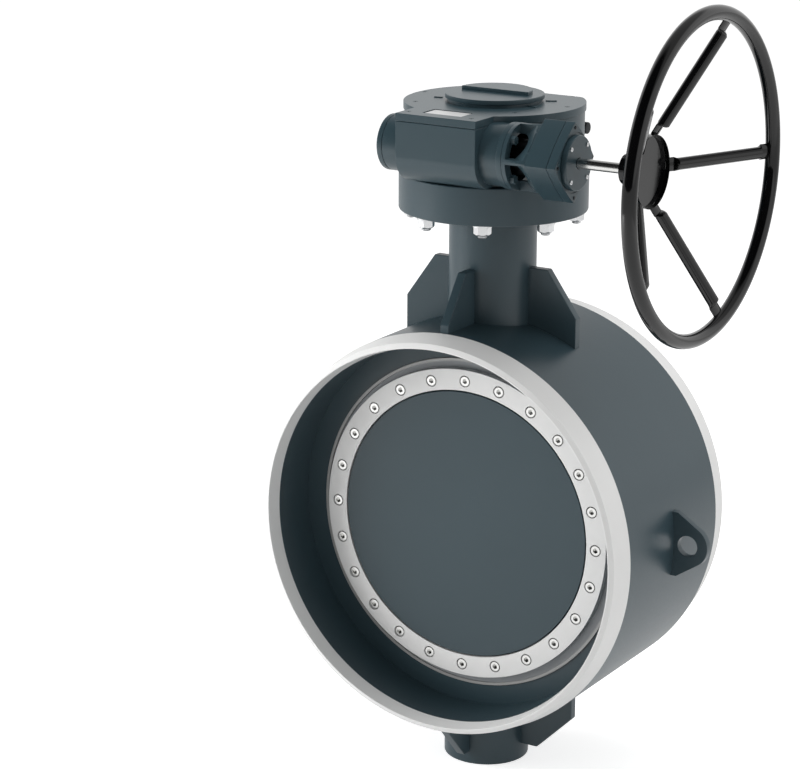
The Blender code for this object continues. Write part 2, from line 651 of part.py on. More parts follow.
def bearings():
    inner_end = HUB_SEAT_HEIGHT + BEARING_INSET
    outer_end = inner_end + BEARING_LENGTH - GAP
    for name, low, high in (("upper", inner_end, outer_end), ("lower", -outer_end, -inner_end)):
        bush = ring(f"{name}_stem_bearing", BEARING_OUTER_RADIUS, STEM_BORE_RADIUS, low, high,
                    ROUND_SMALL)
        as_part(bush, "bronze")
    thrust = ring("thrust_ring", THRUST_RING_RADIUS, STEM_BORE_RADIUS, -HUB_SEAT_HEIGHT + GAP,
                  -HUB_SEAT_HEIGHT + GAP + THRUST_RING_THICKNESS, ROUND_SMALL)
    as_part(thrust, "bronze")


def bottom_plug():
    plug = cylinder("bottom_plug", BEARING_OUTER_RADIUS, PLUG_BOTTOM, PLUG_BOTTOM + PLUG_LENGTH,
                    ROUND_MEDIUM)
    return as_part(plug, "carbon_steel")


def packing():
    """Graphite rings stacked in the stuffing box, and the screwed gland that presses on them."""
    floor = STUFFING_BOX_FLOOR + GAP
    outer = STUFFING_BOX_RADIUS - GAP
    for index in range(PACKING_RING_COUNT):
        bottom = floor + index * (PACKING_RING_HEIGHT + GAP)
        packing_ring = ring(f"packing_ring_{index + 1}", outer, STEM_BORE_RADIUS, bottom,
                            bottom + PACKING_RING_HEIGHT, ROUND_SMALL)
        as_part(packing_ring, "graphite")
    gland_bottom = floor + PACKING_RING_COUNT * (PACKING_RING_HEIGHT + GAP)
    gland_top = NECK_TOP + GAP + GLAND_FLANGE_HEIGHT
    profile = [(GLAND_FLANGE_RADIUS, gland_top), (GLAND_FLANGE_RADIUS, NECK_TOP + GAP),
               (outer, NECK_TOP + GAP), (outer, gland_bottom),
               (STEM_BORE_RADIUS, gland_bottom), (STEM_BORE_RADIUS, gland_top)]
    gland = turned("gland_nut", profile, ROUND_SMALL)
    return as_part(gland, "stainless_steel")


# Seat and disc --------------------------------------------------------------------------------

def skewed_ring(name, outer, inner, front, back, outer_centres, inner_centres):
    """A ring whose two ends are circles with centres of their own, such as a skewed cone."""
    profile = [(outer[1], back), (outer[0], front), (inner[0], front), (inner[1], back)]
    bm = bmesh.new()
    loops = []
    centres = (outer_centres[1], outer_centres[0], inner_centres[0], inner_centres[1])
    for (radius, y), centre in zip(profile, centres):
        circle = bmesh.ops.create_circle(bm, cap_ends=False, radius=radius, segments=ROUND_LARGE)
        turn = Matrix.Translation((centre, y, 0)) @ Matrix.Rotation(-math.pi / 2, 4, "X")
        bmesh.ops.transform(bm, matrix=turn, verts=circle["verts"])
        loops.append(circle["verts"])
    for here, there in zip(loops, loops[1:] + loops[:1]):
        for index in range(ROUND_LARGE):
            after = (index + 1) % ROUND_LARGE
            bm.faces.new((here[index], here[after], there[after], there[index]))
    bmesh.ops.recalc_face_normals(bm, faces=bm.faces)
    return place(mesh_object(name, bm), PARTS)


def cone_radius(depth):
    return LIP_RADIUS + CONE_WIDENING * depth


def cone_centre(depth):
    return LIP_CENTRE + CONE_DRIFT * depth


def seat_ring():
    """The hard seat, pressed into the body's shoulder."""
    seat = skewed_ring("seat_ring", (SEAT_OUTER_RADIUS, SEAT_OUTER_RADIUS),
                       (cone_radius(0), cone_radius(SEAT_DEPTH)), LIP_FRONT, SEAT_BACK,
                       (LIP_CENTRE, LIP_CENTRE), (cone_centre(0), cone_centre(SEAT_DEPTH)))
    return as_part(seat, "stainless_steel")


def seal_ring():
    """The laminated seal on the disc, ground to the seat's skewed cone."""
    seal = skewed_ring("seal_ring",
                       (cone_radius(0) - GAP, cone_radius(SEAL_THICKNESS) - GAP),
                       (SEAL_INNER_RADIUS, SEAL_INNER_RADIUS), LIP_FRONT, SEAL_BACK,
                       (cone_centre(0), cone_centre(SEAL_THICKNESS)),
                       (PIPE_OFFSET, PIPE_OFFSET))
    return as_part(seal, "stainless_steel")


def screw_places():
    return [(PIPE_OFFSET + SCREW_CIRCLE_RADIUS * math.cos(angle), 0,
             SCREW_CIRCLE_RADIUS * math.sin(angle)) for angle in around(SCREW_COUNT)]


def screw_holes(name, radius, front, back):
    """One cutter that holds the whole circle of screw holes."""
    bm = bmesh.new()
    for x, _, z in screw_places():
        upright = Matrix.Translation((x, (front + back) / 2, z))
        turn = upright @ Matrix.Rotation(-math.pi / 2, 4, "X")
        bmesh.ops.create_cone(bm, cap_ends=True, segments=ROUND_TINY, radius1=radius,
                              radius2=radius, depth=back - front, matrix=turn)
    return place(mesh_object(name, bm), PARTS)


def retaining_ring():
    """The bolted ring that clamps the seal to the disc, chamfered on its outer edge."""
    clamp = skewed_ring("retaining_ring", (RING_FRONT_RADIUS, RING_BACK_RADIUS),
                        (RING_INNER_RADIUS, RING_INNER_RADIUS), RING_FRONT, RING_BACK,
                        (PIPE_OFFSET, LIP_CENTRE), (PIPE_OFFSET, PIPE_OFFSET))
    head_bore = SCREW_HEAD_RADIUS + SCREW_CLEARANCE
    shank_bore = SCREW_SHANK_RADIUS + SCREW_CLEARANCE
    head_seat = RING_FRONT + SCREW_HEAD_SINK + SCREW_HEAD_HEIGHT + GAP
    cut(clamp, screw_holes("head_counterbores", head_bore, RING_FRONT - CUT_PAST, head_seat))
    cut(clamp, screw_holes("ring_screw_holes", shank_bore, RING_FRONT, RING_BACK + CUT_PAST))
    return as_part(clamp, "stainless_steel")


def disc():
    """The cast disc: a stepped plate that carries the seal, with the stem's hub across its back."""
    seal_step = SEAL_BACK + GAP
    face = RING_FRONT + DISC_FACE_SETBACK
    land_radius = SEAL_INNER_RADIUS - GAP
    flange_back = seal_step + DISC_FLANGE_LENGTH
    profile = [
        (0, DISC_BACK), (DISC_BACK_RADIUS, DISC_BACK), (DISC_FLANGE_RADIUS, flange_back),
        (DISC_FLANGE_RADIUS, seal_step), (land_radius, seal_step), (land_radius, LIP_FRONT),
        (RING_INNER_RADIUS - GAP, LIP_FRONT), (RING_INNER_RADIUS - GAP, face), (0, face),
    ]
    casting = turned("disc", profile, ROUND_LARGE, PIPE_CENTRE, ALONG_Y)
    join(casting, cylinder("disc_hub", HUB_RADIUS, -HUB_HALF_LENGTH, HUB_HALF_LENGTH,
                           ROUND_MEDIUM))
    cut(casting, cylinder("disc_stem_bore", STEM_BORE_RADIUS, -HUB_HALF_LENGTH - CUT_PAST,
                          HUB_HALF_LENGTH + CUT_PAST, ROUND_SMALL))
    screw_end = RING_FRONT + SCREW_HEAD_SINK + SCREW_LENGTH + GAP
    cut(casting, screw_holes("disc_screw_holes", SCREW_SHANK_RADIUS + GAP, LIP_FRONT - CUT_PAST,
                             screw_end))
    for name, height in (("upper", PIN_HEIGHT), ("lower", -PIN_HEIGHT)):
        cut(casting, cylinder(f"hub_{name}_pin_hole", PIN_RADIUS + GAP, DISC_BACK,
                              HUB_RADIUS + CUT_PAST, ROUND_TINY, (0, 0, height), ALONG_Y))
    return as_part(casting, "painted_steel")


def retaining_screws():
    """Cap screws sunk in the ring. They share one mesh, and each is a piece of its own."""
    head_front = RING_FRONT + SCREW_HEAD_SINK
    pattern = turned("screw_pattern", [
        (0, SCREW_LENGTH), (SCREW_SHANK_RADIUS, SCREW_LENGTH),
        (SCREW_SHANK_RADIUS, SCREW_HEAD_HEIGHT), (SCREW_HEAD_RADIUS, SCREW_HEAD_HEIGHT),
        (SCREW_HEAD_RADIUS, 0), (0, 0)], ROUND_TINY)
    bpy.context.view_layer.update()
    evaluated = pattern.evaluated_get(bpy.context.evaluated_depsgraph_get())
    mesh = bpy.data.meshes.new_from_object(evaluated)
    bpy.data.objects.remove(pattern, do_unlink=True)
    mesh.materials.clear()
    mesh.materials.append(finish_material("retaining_screw", "stainless_steel"))
    for index, (x, _, z) in enumerate(screw_places()):
        screw = bpy.data.objects.new(f"retaining_screw_{index + 1:02d}", mesh)
        place(screw, PARTS, (x, head_front, z), ALONG_Y)


# Mounting flange and gearbox ------------------------------------------------------------------

def mounting_flange():
    flange = ring("mounting_flange", FLANGE_RADIUS, NECK_RADIUS + GAP, FLANGE_BOTTOM, FLANGE_TOP,
                  ROUND_MEDIUM)
    for index, angle in enumerate(around(STUD_COUNT, math.pi / STUD_COUNT)):
        spot = (STUD_CIRCLE_RADIUS * math.cos(angle), STUD_CIRCLE_RADIUS * math.sin(angle), 0)
        cut(flange, cylinder(f"stud_hole_{index + 1}", STUD_HOLE_RADIUS, FLANGE_BOTTOM - CUT_PAST,
                             FLANGE_TOP + CUT_PAST, ROUND_TINY, spot))
    return as_part(flange, "painted_steel")


def gearbox_outline(radius):
    """A circle cut flat at the back, with rounded corners."""
    corner_distance = radius - BOX_CORNER_RADIUS
    corner_y = BOX_BACK - BOX_CORNER_RADIUS
    corner_x = math.sqrt(corner_distance ** 2 - corner_y ** 2)
    lean = math.atan2(corner_y, corner_x)
    outline = arc(0, 0, radius, math.pi - lean, 2 * math.pi + lean, 40)
    outline += arc(corner_x, corner_y, BOX_CORNER_RADIUS, lean, math.pi / 2, 4)[1:]
    outline += arc(-corner_x, corner_y, BOX_CORNER_RADIUS, math.pi / 2, math.pi - lean, 4)[:-1]
    return outline


def upright_plate(name, outline, bottom, top):
    return plate(name, outline, top - bottom, (0, 0, (bottom + top) / 2))


def stop_screw_start():
    return math.sqrt(BOX_RADIUS ** 2 - STOP_SCREW_Y ** 2) - STOP_SCREW_DEPTH


def gear_housing():
    """The cast gearbox: wheel chamber, worm tunnel and the flange for the lantern bracket."""
    housing = upright_plate("gear_housing", gearbox_outline(BOX_RADIUS), BOX_BOTTOM, BOX_SEAM)
    edge = WORM_BOX_EDGE_RADIUS
    side_outline = [(-BOX_RADIUS / 2, BOX_SEAM), (-BOX_RADIUS / 2, BOX_BOTTOM)]
    side_outline += arc(WORM_BOX_FRONT + edge, BOX_BOTTOM + edge, edge, -math.pi / 2, -math.pi, 8)
    side_outline.append((WORM_BOX_FRONT, BOX_SEAM))
    box_middle = ((WORM_BOX_LEFT + WORM_BOX_RIGHT) / 2, 0, 0)
    sideways = (Matrix.Rotation(math.pi / 2, 4, "Z") @ Matrix.Rotation(math.pi / 2, 4, "X"))
    worm_box = plate("worm_box", side_outline, WORM_BOX_RIGHT - WORM_BOX_LEFT, box_middle,
                     sideways.to_euler())
    worm_neck = cylinder("worm_neck", WORM_NECK_RADIUS, 0, WORM_NECK_END, ROUND_MEDIUM, WORM_AXIS,
                         ALONG_X)
    worm_flange = cylinder("worm_flange", WORM_FLANGE_RADIUS, WORM_NECK_END, WORM_FLANGE_END,
                           ROUND_MEDIUM, WORM_AXIS, ALONG_X)
    end_boss = cylinder("end_boss", END_CAP_RADIUS, WORM_BOX_LEFT - END_BOSS_LENGTH, 0,
                        ROUND_MEDIUM, WORM_AXIS, ALONG_X)
    join(housing, worm_box, worm_neck, worm_flange, end_boss)
    cut(housing, cylinder("lantern_room", WORM_FLANGE_RADIUS + LANTERN_ROOM, WORM_FLANGE_END,
                          LANTERN_END, ROUND_MEDIUM, WORM_AXIS, ALONG_X))
    cut(housing, cylinder("end_cap_room", END_CAP_RADIUS + GAP, -BOX_RADIUS,
                          WORM_BOX_LEFT - END_BOSS_LENGTH, ROUND_MEDIUM, WORM_AXIS, ALONG_X))
    cut(housing, cylinder("stop_screw_hole", STOP_SCREW_RADIUS + GAP, stop_screw_start() - GAP,
                          BOX_RADIUS, ROUND_TINY, (0, STOP_SCREW_Y, STOP_SCREW_HEIGHT), ALONG_X))
    past = COVER_TOP + CUT_PAST
    cut(housing, upright_plate("lid_room", gearbox_outline(COVER_RADIUS + GAP), BOX_SEAM, past))
    cut(housing, box("worm_lid_room", (WORM_BOX_LEFT, WORM_BOX_FRONT, BOX_SEAM),
                     (WORM_BOX_RIGHT + GAP, 0, past)))
    cut(housing, cylinder("wheel_chamber", CHAMBER_RADIUS, BOX_FLOOR, BOX_SEAM + CUT_PAST,
                          ROUND_MEDIUM))
    cut(housing, cylinder("worm_tunnel", WORM_TUNNEL_RADIUS, -BOX_RADIUS,
                          WORM_FLANGE_END + CUT_PAST, ROUND_MEDIUM, WORM_AXIS, ALONG_X))
    cut(housing, cylinder("housing_stem_bore", STEM_RADIUS + 3 * GAP, BOX_BOTTOM - CUT_PAST,
                          BOX_FLOOR + CUT_PAST, ROUND_SMALL))
    return as_part(housing, "painted_iron")


def stop_screw():
    """The travel stop on the gearbox's right side, screwed in towards the wheel."""
    start = stop_screw_start()
    knob = cylinder("stop_screw", STOP_SCREW_RADIUS, start, start + STOP_SCREW_LENGTH,
                    ROUND_TINY, (0, STOP_SCREW_Y, STOP_SCREW_HEIGHT), ALONG_X)
    return as_part(knob, "carbon_steel")


def gear_cover():
    bottom = BOX_SEAM + GAP
    cover = upright_plate("gear_cover", gearbox_outline(COVER_RADIUS), bottom, COVER_TOP)
    join(cover, box("worm_box_lid", (WORM_BOX_LEFT, WORM_BOX_FRONT, bottom),
                    (WORM_BOX_RIGHT, -BOX_RADIUS / 2, COVER_TOP)))
    join(cover, cylinder("indicator_boss", INDICATOR_BOSS_RADIUS, bottom, INDICATOR_BOSS_TOP,
                         ROUND_MEDIUM))
    cut(cover, cylinder("spindle_hole", SPINDLE_RADIUS + GAP, bottom - CUT_PAST,
                        INDICATOR_BOSS_TOP + CUT_PAST, ROUND_SMALL))
    return as_part(cover, "painted_iron")


def position_indicator():
    """The round plate that turns with the stem. The straight edge of its raised half is the
    disc's direction."""
    dial = cylinder("position_indicator", INDICATOR_RADIUS, INDICATOR_BOTTOM, INDICATOR_TOP,
                    ROUND_MEDIUM)
    pointer_outline = arc(0, POINTER_EDGE_Y, POINTER_RADIUS, 0, math.pi, 20)
    pointer = upright_plate("pointer", pointer_outline, INDICATOR_TOP - OVERLAP,
                            INDICATOR_TOP + POINTER_THICKNESS)
    spindle = cylinder("indicator_spindle", SPINDLE_RADIUS, STEM_TOP - SPINDLE_DEPTH,
                       INDICATOR_BOTTOM + OVERLAP, ROUND_SMALL)
    join(dial, pointer, spindle)
    return as_part(dial, "painted_iron")


# Worm drive -----------------------------------------------------------------------------------

def worm_wheel():
    """Bronze wheel on the stem. Its slanted teeth match the worm's thread."""
    tip = WHEEL_PITCH_RADIUS + WORM_MODULE
    root = WHEEL_PITCH_RADIUS - 1.25 * WORM_MODULE
    twist = -WHEEL_FACE * LEAD_SLOPE / WHEEL_PITCH_RADIUS
    first_tooth = -math.pi / 2 + math.pi / WHEEL_TEETH - twist / 2
    outline = gear_outline(WHEEL_TEETH, WORM_MODULE, 20, (root, tip), -GEAR_BACKLASH, first_tooth)
    outline = [(x, y, 0) for x, y in outline]
    wheel = swept("worm_wheel", outline, (0, 0, 1), twist, (0, 0, WHEEL_FACE), 1,
                  (0, 0, WORM_HEIGHT - WHEEL_FACE / 2))
    join(wheel, cylinder("wheel_hub", WHEEL_HUB_RADIUS, BOX_FLOOR + GAP, STEM_TOP + WHEEL_HUB_RISE,
                         ROUND_MEDIUM))
    cut(wheel, cylinder("wheel_bore", STEM_BORE_RADIUS, BOX_FLOOR - CUT_PAST, STEM_TOP + 2 * CUT_PAST,
                        ROUND_SMALL))
    return as_part(wheel, "bronze")


def worm():
    """Left-handed single-start worm on its shaft, which carries the planet carrier's end."""
    root = WORM_PITCH_RADIUS - 1.25 * WORM_MODULE
    tip = WORM_TIP_RADIUS
    left = WORM_BOX_LEFT + GAP
    core_half = WORM_PITCH * (WORM_THREAD_TURNS + 2) / 2
    journal = WORM_JOURNAL_RADIUS
    shoulder = GEARHEAD_BACK - WORM_END_SHOULDER
    profile = [
        (0, CARRIER_FRONT - GAP), (WORM_END_RADIUS, CARRIER_FRONT - GAP),
        (WORM_END_RADIUS, shoulder), (journal, shoulder),
        (journal, core_half), (root, core_half), (root, -core_half), (journal, -core_half),
        (journal, left), (0, left),
    ]
    shaft = turned("worm", profile, ROUND_SMALL, WORM_AXIS, ALONG_X)
    half_facet = math.pi / ROUND_SMALL
    shaft.data.transform(Matrix.Rotation(half_facet, 4, "Z"))
    half_pitch_width = WORM_PITCH / 4 - GEAR_BACKLASH / 2
    flank = math.tan(math.radians(20))
    sunk = root - OVERLAP / 2
    half_root = half_pitch_width + flank * (WORM_PITCH_RADIUS - sunk)
    half_tip = half_pitch_width - flank * (tip - WORM_PITCH_RADIUS)
    turns = WORM_THREAD_TURNS
    start = WORM_PITCH * turns / 2
    outline = [(0, sunk, start - half_root), (0, tip, start - half_tip),
               (0, tip, start + half_tip), (0, sunk, start + half_root)]
    thread = swept("worm_thread", outline, (0, 0, 1), 2 * math.pi * turns,
                   (0, 0, -WORM_PITCH * turns), 12 * turns, WORM_AXIS, ALONG_X)
    spin = Matrix.Rotation(math.pi * turns, 4, "Z")
    thread.data.transform(spin)
    join(shaft, thread)
    return as_part(shaft, "carbon_steel")


def worm_bearings():
    inner = WORM_JOURNAL_RADIUS + GAP
    outer = WORM_TUNNEL_RADIUS - GAP
    right_start = WORM_FLANGE_END - WORM_BEARING_LENGTH
    for name, start in (("left", WORM_BOX_LEFT), ("right", right_start)):
        bearing = ring(f"worm_bearing_{name}", outer, inner, start, start + WORM_BEARING_LENGTH,
                       ROUND_SMALL, WORM_AXIS, ALONG_X)
        as_part(bearing, "carbon_steel")


def worm_end_cap():
    right = WORM_BOX_LEFT - END_BOSS_LENGTH - GAP
    cap = cylinder("worm_end_cap", END_CAP_RADIUS, right - END_CAP_LENGTH, right, ROUND_MEDIUM,
                   WORM_AXIS, ALONG_X)
    return as_part(cap, "painted_iron")


# Lantern bracket and gearhead -----------------------------------------------------------------

def diamond_outline(half_diagonal):
    """A square on its corner, with slightly bulging sides."""
    outline = []
    half_side = half_diagonal / math.sqrt(2)
    rise = GEARHEAD_SIDE_RISE
    bend_radius = (half_side ** 2 + rise ** 2) / (2 * rise)
    half_bend = math.asin(half_side / bend_radius)
    for side_angle in around(4, math.pi / 4):
        back = bend_radius - half_side - rise
        centre_x = -back * math.cos(side_angle)
        centre_y = -back * math.sin(side_angle)
        outline += arc(centre_x, centre_y, bend_radius, side_angle - half_bend,
                       side_angle + half_bend, 6)[:-1]
    return outline


def diamond_plate(name, back, front):
    location = ((back + front) / 2, WORM_Y, WORM_HEIGHT)
    outline = diamond_outline(GEARHEAD_HALF_DIAGONAL)
    return plate(name, outline, front - back, location, ALONG_X)


def bracket_loft(start, bend, end):
    """Round up to the bend, then growing into the gearhead's diamond."""
    diamond = diamond_outline(GEARHEAD_HALF_DIAGONAL - LANTERN_SETBACK)
    circle = [Vector(point).normalized() * WORM_FLANGE_RADIUS for point in diamond]
    bm = bmesh.new()
    loops = []
    for x, outline in ((start, circle), (bend, circle), (end, diamond)):
        loops.append([bm.verts.new((y, z, x)) for y, z in outline])
    count = len(diamond)
    for here, there in zip(loops, loops[1:]):
        for index in range(count):
            after = (index + 1) % count
            bm.faces.new((here[index], here[after], there[after], there[index]))
    bm.faces.new(reversed(loops[0]))
    bm.faces.new(loops[-1])
    return place(mesh_object("lantern_bracket", bm), PARTS, WORM_AXIS, ALONG_X)


def lantern_bracket():
    """Cast bracket between the gearbox and the gearhead, with a window over each of its bolts."""
    start = WORM_FLANGE_END + GAP
    window_start = start + LANTERN_FLANGE_LENGTH
    window_end = window_start + LANTERN_WINDOW_LENGTH
    bracket = bracket_loft(start, window_start, LANTERN_END)
    cut(bracket, cylinder("lantern_bore", LANTERN_BORE_RADIUS, start - CUT_PAST, LANTERN_END + CUT_PAST,
                          ROUND_SMALL, WORM_AXIS, ALONG_X))
    half_arm = LANTERN_ARM_WIDTH / 2
    far = GEARHEAD_HALF_DIAGONAL
    for index, (y_side, z_side) in enumerate(((1, 1), (-1, 1), (-1, -1), (1, -1))):
        y_ends = sorted((WORM_Y + y_side * half_arm, WORM_Y + y_side * far))
        z_ends = sorted((WORM_HEIGHT + z_side * half_arm, WORM_HEIGHT + z_side * far))
        cut(bracket, box(f"window_{index + 1}", (window_start, y_ends[0], z_ends[0]),
                         (window_end, y_ends[1], z_ends[1])))
    return as_part(bracket, "painted_iron")


def gearhead_housing():
    """Diamond-shaped housing. The fixed ring gear is cut into its wall."""
    housing = diamond_plate("gearhead_housing", GEARHEAD_BACK, GEARHEAD_SEAM - GAP)
    pitch = RING_TEETH * PLANET_MODULE / 2
    radii = (pitch - PLANET_MODULE, pitch, pitch + 1.25 * PLANET_MODULE)
    cavity = gear_outline(RING_TEETH, PLANET_MODULE, 25, radii, GEAR_BACKLASH / 2,
                          math.pi / RING_TEETH)
    back = GEARHEAD_BACK + GEARHEAD_WALL
    front = GEARHEAD_SEAM + CUT_PAST
    ring_gear = plate("ring_gear", cavity, front - back,
                      ((back + front) / 2, WORM_Y, WORM_HEIGHT), ALONG_X)
    cut(housing, ring_gear)
    cut(housing, cylinder("gearhead_back_bore", GEARHEAD_BORE_RADIUS, GEARHEAD_BACK - CUT_PAST,
                          back + CUT_PAST, ROUND_SMALL, WORM_AXIS, ALONG_X))
    return as_part(housing, "painted_iron")


def gearhead_cover():
    cover = diamond_plate("gearhead_cover", GEARHEAD_SEAM, GEARHEAD_FRONT)
    cut(cover, cylinder("cover_bore", INPUT_SHAFT_RADIUS + GAP, GEARHEAD_SEAM - CUT_PAST,
                        GEARHEAD_FRONT + CUT_PAST, ROUND_SMALL, WORM_AXIS, ALONG_X))
    return as_part(cover, "painted_iron")


def bearing_cover():
    cover = ring("bearing_cover", BEARING_COVER_RADIUS, INPUT_SHAFT_RADIUS + GAP,
                 GEARHEAD_FRONT + GAP, BEARING_COVER_FRONT, ROUND_MEDIUM, WORM_AXIS, ALONG_X)
    return as_part(cover, "painted_iron")


def small_gear(name, teeth, bottom, first_tooth, location):
    pitch = teeth * PLANET_MODULE / 2
    radii = (pitch - 1.25 * PLANET_MODULE, pitch + PLANET_MODULE)
    outline = gear_outline(teeth, PLANET_MODULE, 25, radii, -GEAR_BACKLASH / 2, first_tooth)
    location = (bottom + PLANET_FACE / 2, location[1], location[2])
    return plate(name, outline, PLANET_FACE, location, ALONG_X)


def planet_centres():
    """Planet places in the gearhead. A piece's own X points down once it lies along the worm."""
    centres = []
    for angle in around(PLANET_COUNT):
        centres.append((0, WORM_Y + SUN_CENTRE_DISTANCE * math.sin(angle),
                        WORM_HEIGHT - SUN_CENTRE_DISTANCE * math.cos(angle)))
    return centres


def planet_gears():
    half_tooth = math.pi / PLANET_TEETH
    for index, centre in enumerate(planet_centres()):
        gear = small_gear(f"planet_gear_{index + 1}", PLANET_TEETH, PLANET_BACK, half_tooth,
                          centre)
        cut(gear, cylinder(f"planet_bore_{index + 1}", PLANET_BORE_RADIUS + GAP,
                           PLANET_BACK - CUT_PAST, PLANET_BACK + PLANET_FACE + CUT_PAST, ROUND_PIN,
                           centre, ALONG_X))
        as_part(gear, "carbon_steel")


def planet_carrier():
    """Plate on the worm's end, with a pin for each planet."""
    carrier = ring("planet_carrier", CARRIER_RADIUS, WORM_END_RADIUS + GAP,
                   CARRIER_BACK, CARRIER_FRONT, ROUND_MEDIUM, WORM_AXIS, ALONG_X)
    for index, centre in enumerate(planet_centres()):
        join(carrier, cylinder(f"planet_pin_{index + 1}", PLANET_BORE_RADIUS, CARRIER_BACK + OVERLAP,
                               PLANET_BACK + PLANET_FACE + OVERLAP, ROUND_PIN, centre, ALONG_X))
    return as_part(carrier, "carbon_steel")


def input_shaft():
    """The handwheel's shaft, with the sun gear cut on its inner end."""
    shaft = small_gear("input_shaft", SUN_TEETH, PLANET_BACK, 0, WORM_AXIS)
    join(shaft, cylinder("input_shaft_rod", INPUT_SHAFT_RADIUS, PLANET_BACK + OVERLAP,
                         HUB_PLATE_FRONT - OVERLAP, ROUND_SMALL, WORM_AXIS, ALONG_X))
    return as_part(shaft, "stainless_steel")


def handwheel():
    """Tubular rim, five tube spokes and a turned hub, welded together."""
    bm = bmesh.new()
    rim_points = 48
    tube_points = 8
    first = []
    for index in range(tube_points):
        angle = 2 * math.pi * index / tube_points
        first.append(bm.verts.new((RIM_RADIUS + RIM_TUBE_RADIUS * math.cos(angle), 0,
                                   RIM_TUBE_RADIUS * math.sin(angle))))
    for index in range(tube_points):
        bm.edges.new((first[index - 1], first[index]))
    rim = mesh_object("handwheel", bm)
    place(rim, PARTS, (WHEEL_PLANE, WORM_Y, WORM_HEIGHT), ALONG_X)
    screw = rim.modifiers.new("turn", "SCREW")
    screw.steps = rim_points
    screw.render_steps = rim_points
    screw.use_merge_vertices = True
    screw.merge_threshold = 0.00001
    spoke_start_x = HUB_PLATE_FRONT - HUB_PLATE_THICKNESS / 2
    for index, angle in enumerate(around(SPOKE_COUNT, SPOKE_PHASE)):
        outwards = Vector((0, math.cos(angle), math.sin(angle)))
        hub_end = Vector((spoke_start_x, 0, 0)) + outwards * SPOKE_START_RADIUS
        rim_end = Vector((WHEEL_PLANE, 0, 0)) + outwards * RIM_RADIUS
        direction = rim_end - hub_end
        spoke = cylinder(f"spoke_{index + 1}", SPOKE_TUBE_RADIUS, 0, direction.length,
                         ROUND_TINY, Vector(WORM_AXIS) + hub_end,
                         direction.to_track_quat("Z", "Y").to_euler())
        join(rim, spoke)
    hub_back = HUB_PLATE_FRONT - HUB_PLATE_THICKNESS
    inner = INPUT_SHAFT_RADIUS + GAP
    hub = turned("wheel_hub_plate", [
        (HUB_PLATE_RADIUS, HUB_PLATE_FRONT), (HUB_PLATE_RADIUS, hub_back),
        (WHEEL_BOSS_RADIUS, hub_back), (WHEEL_BOSS_RADIUS, WHEEL_BOSS_BACK),
        (inner, WHEEL_BOSS_BACK), (inner, HUB_PLATE_FRONT)], ROUND_MEDIUM, WORM_AXIS, ALONG_X)
    join(rim, hub)
    return as_part(rim, "black_enamel")


def build_valve():
    body_shell()
    seat_ring()
    stem()
    disc()
    seal_ring()
    retaining_ring()
    retaining_screws()
    disc_pins()
    bearings()
    bottom_plug()
    packing()
    mounting_flange()
    gear_housing()
    gear_cover()
    stop_screw()
    worm_wheel()
    position_indicator()
    worm()
    worm_bearings()
    worm_end_cap()
    lantern_bracket()
    gearhead_housing()
    gearhead_cover()
    planet_carrier()
    planet_gears()
    bearing_cover()
    input_shaft()
    handwheel()


remove_start_objects()
PARTS = make_collection("butterfly_valve")
CUTTERS = make_collection("cutters")
build_valve()
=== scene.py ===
import math

import bmesh
import bpy
from mathutils import Matrix, Vector


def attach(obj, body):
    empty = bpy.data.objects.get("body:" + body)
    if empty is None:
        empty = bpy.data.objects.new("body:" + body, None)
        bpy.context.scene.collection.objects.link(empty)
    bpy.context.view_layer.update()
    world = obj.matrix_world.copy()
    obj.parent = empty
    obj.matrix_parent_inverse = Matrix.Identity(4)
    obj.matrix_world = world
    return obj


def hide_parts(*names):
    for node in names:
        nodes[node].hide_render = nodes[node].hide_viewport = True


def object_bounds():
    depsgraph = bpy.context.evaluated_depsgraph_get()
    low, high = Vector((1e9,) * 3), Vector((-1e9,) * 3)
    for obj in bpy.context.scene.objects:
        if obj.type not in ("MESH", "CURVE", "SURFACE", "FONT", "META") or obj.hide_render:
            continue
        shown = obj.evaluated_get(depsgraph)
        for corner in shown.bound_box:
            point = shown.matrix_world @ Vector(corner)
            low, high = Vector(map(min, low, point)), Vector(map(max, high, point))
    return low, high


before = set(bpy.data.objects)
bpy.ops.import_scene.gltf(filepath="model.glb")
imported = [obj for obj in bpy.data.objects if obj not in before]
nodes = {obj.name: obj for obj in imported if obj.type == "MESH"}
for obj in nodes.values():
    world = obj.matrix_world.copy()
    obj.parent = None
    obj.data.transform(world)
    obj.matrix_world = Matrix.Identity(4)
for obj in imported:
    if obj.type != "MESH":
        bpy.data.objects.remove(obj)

cad_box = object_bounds()

# Studio ---------------------------------------------------------------------------------------
# A plain pale floor under the bottom stub, a white room with a dark screen, three soft lamps, and
# a camera turned about 32 degrees to the handwheel's side and 16 degrees above the valve.


def linear(hex_colour):
    """An sRGB colour such as 50585D as Blender's linear colour."""
    parts = [int(hex_colour[place:place + 2], 16) / 255 for place in (0, 2, 4)]
    curve = [part / 12.92 if part <= 0.04045 else ((part + 0.055) / 1.055) ** 2.4
             for part in parts]
    return (*curve, 1.0)


def add(tree, kind, inputs=None, **settings):
    """Adds one node, with its settings and with each input set to a value or linked."""
    made = tree.nodes.new(kind)
    for name, value in settings.items():
        setattr(made, name, value)
    for name, value in (inputs or {}).items():
        if isinstance(value, bpy.types.NodeSocket):
            tree.links.new(value, made.inputs[name])
        else:
            made.inputs[name].default_value = value
    return made


def new_material(name):
    """An empty material and its output node."""
    material = bpy.data.materials.new(name)
    material.use_nodes = True
    material.node_tree.nodes.clear()
    return material, material.node_tree, add(material.node_tree, "ShaderNodeOutputMaterial")


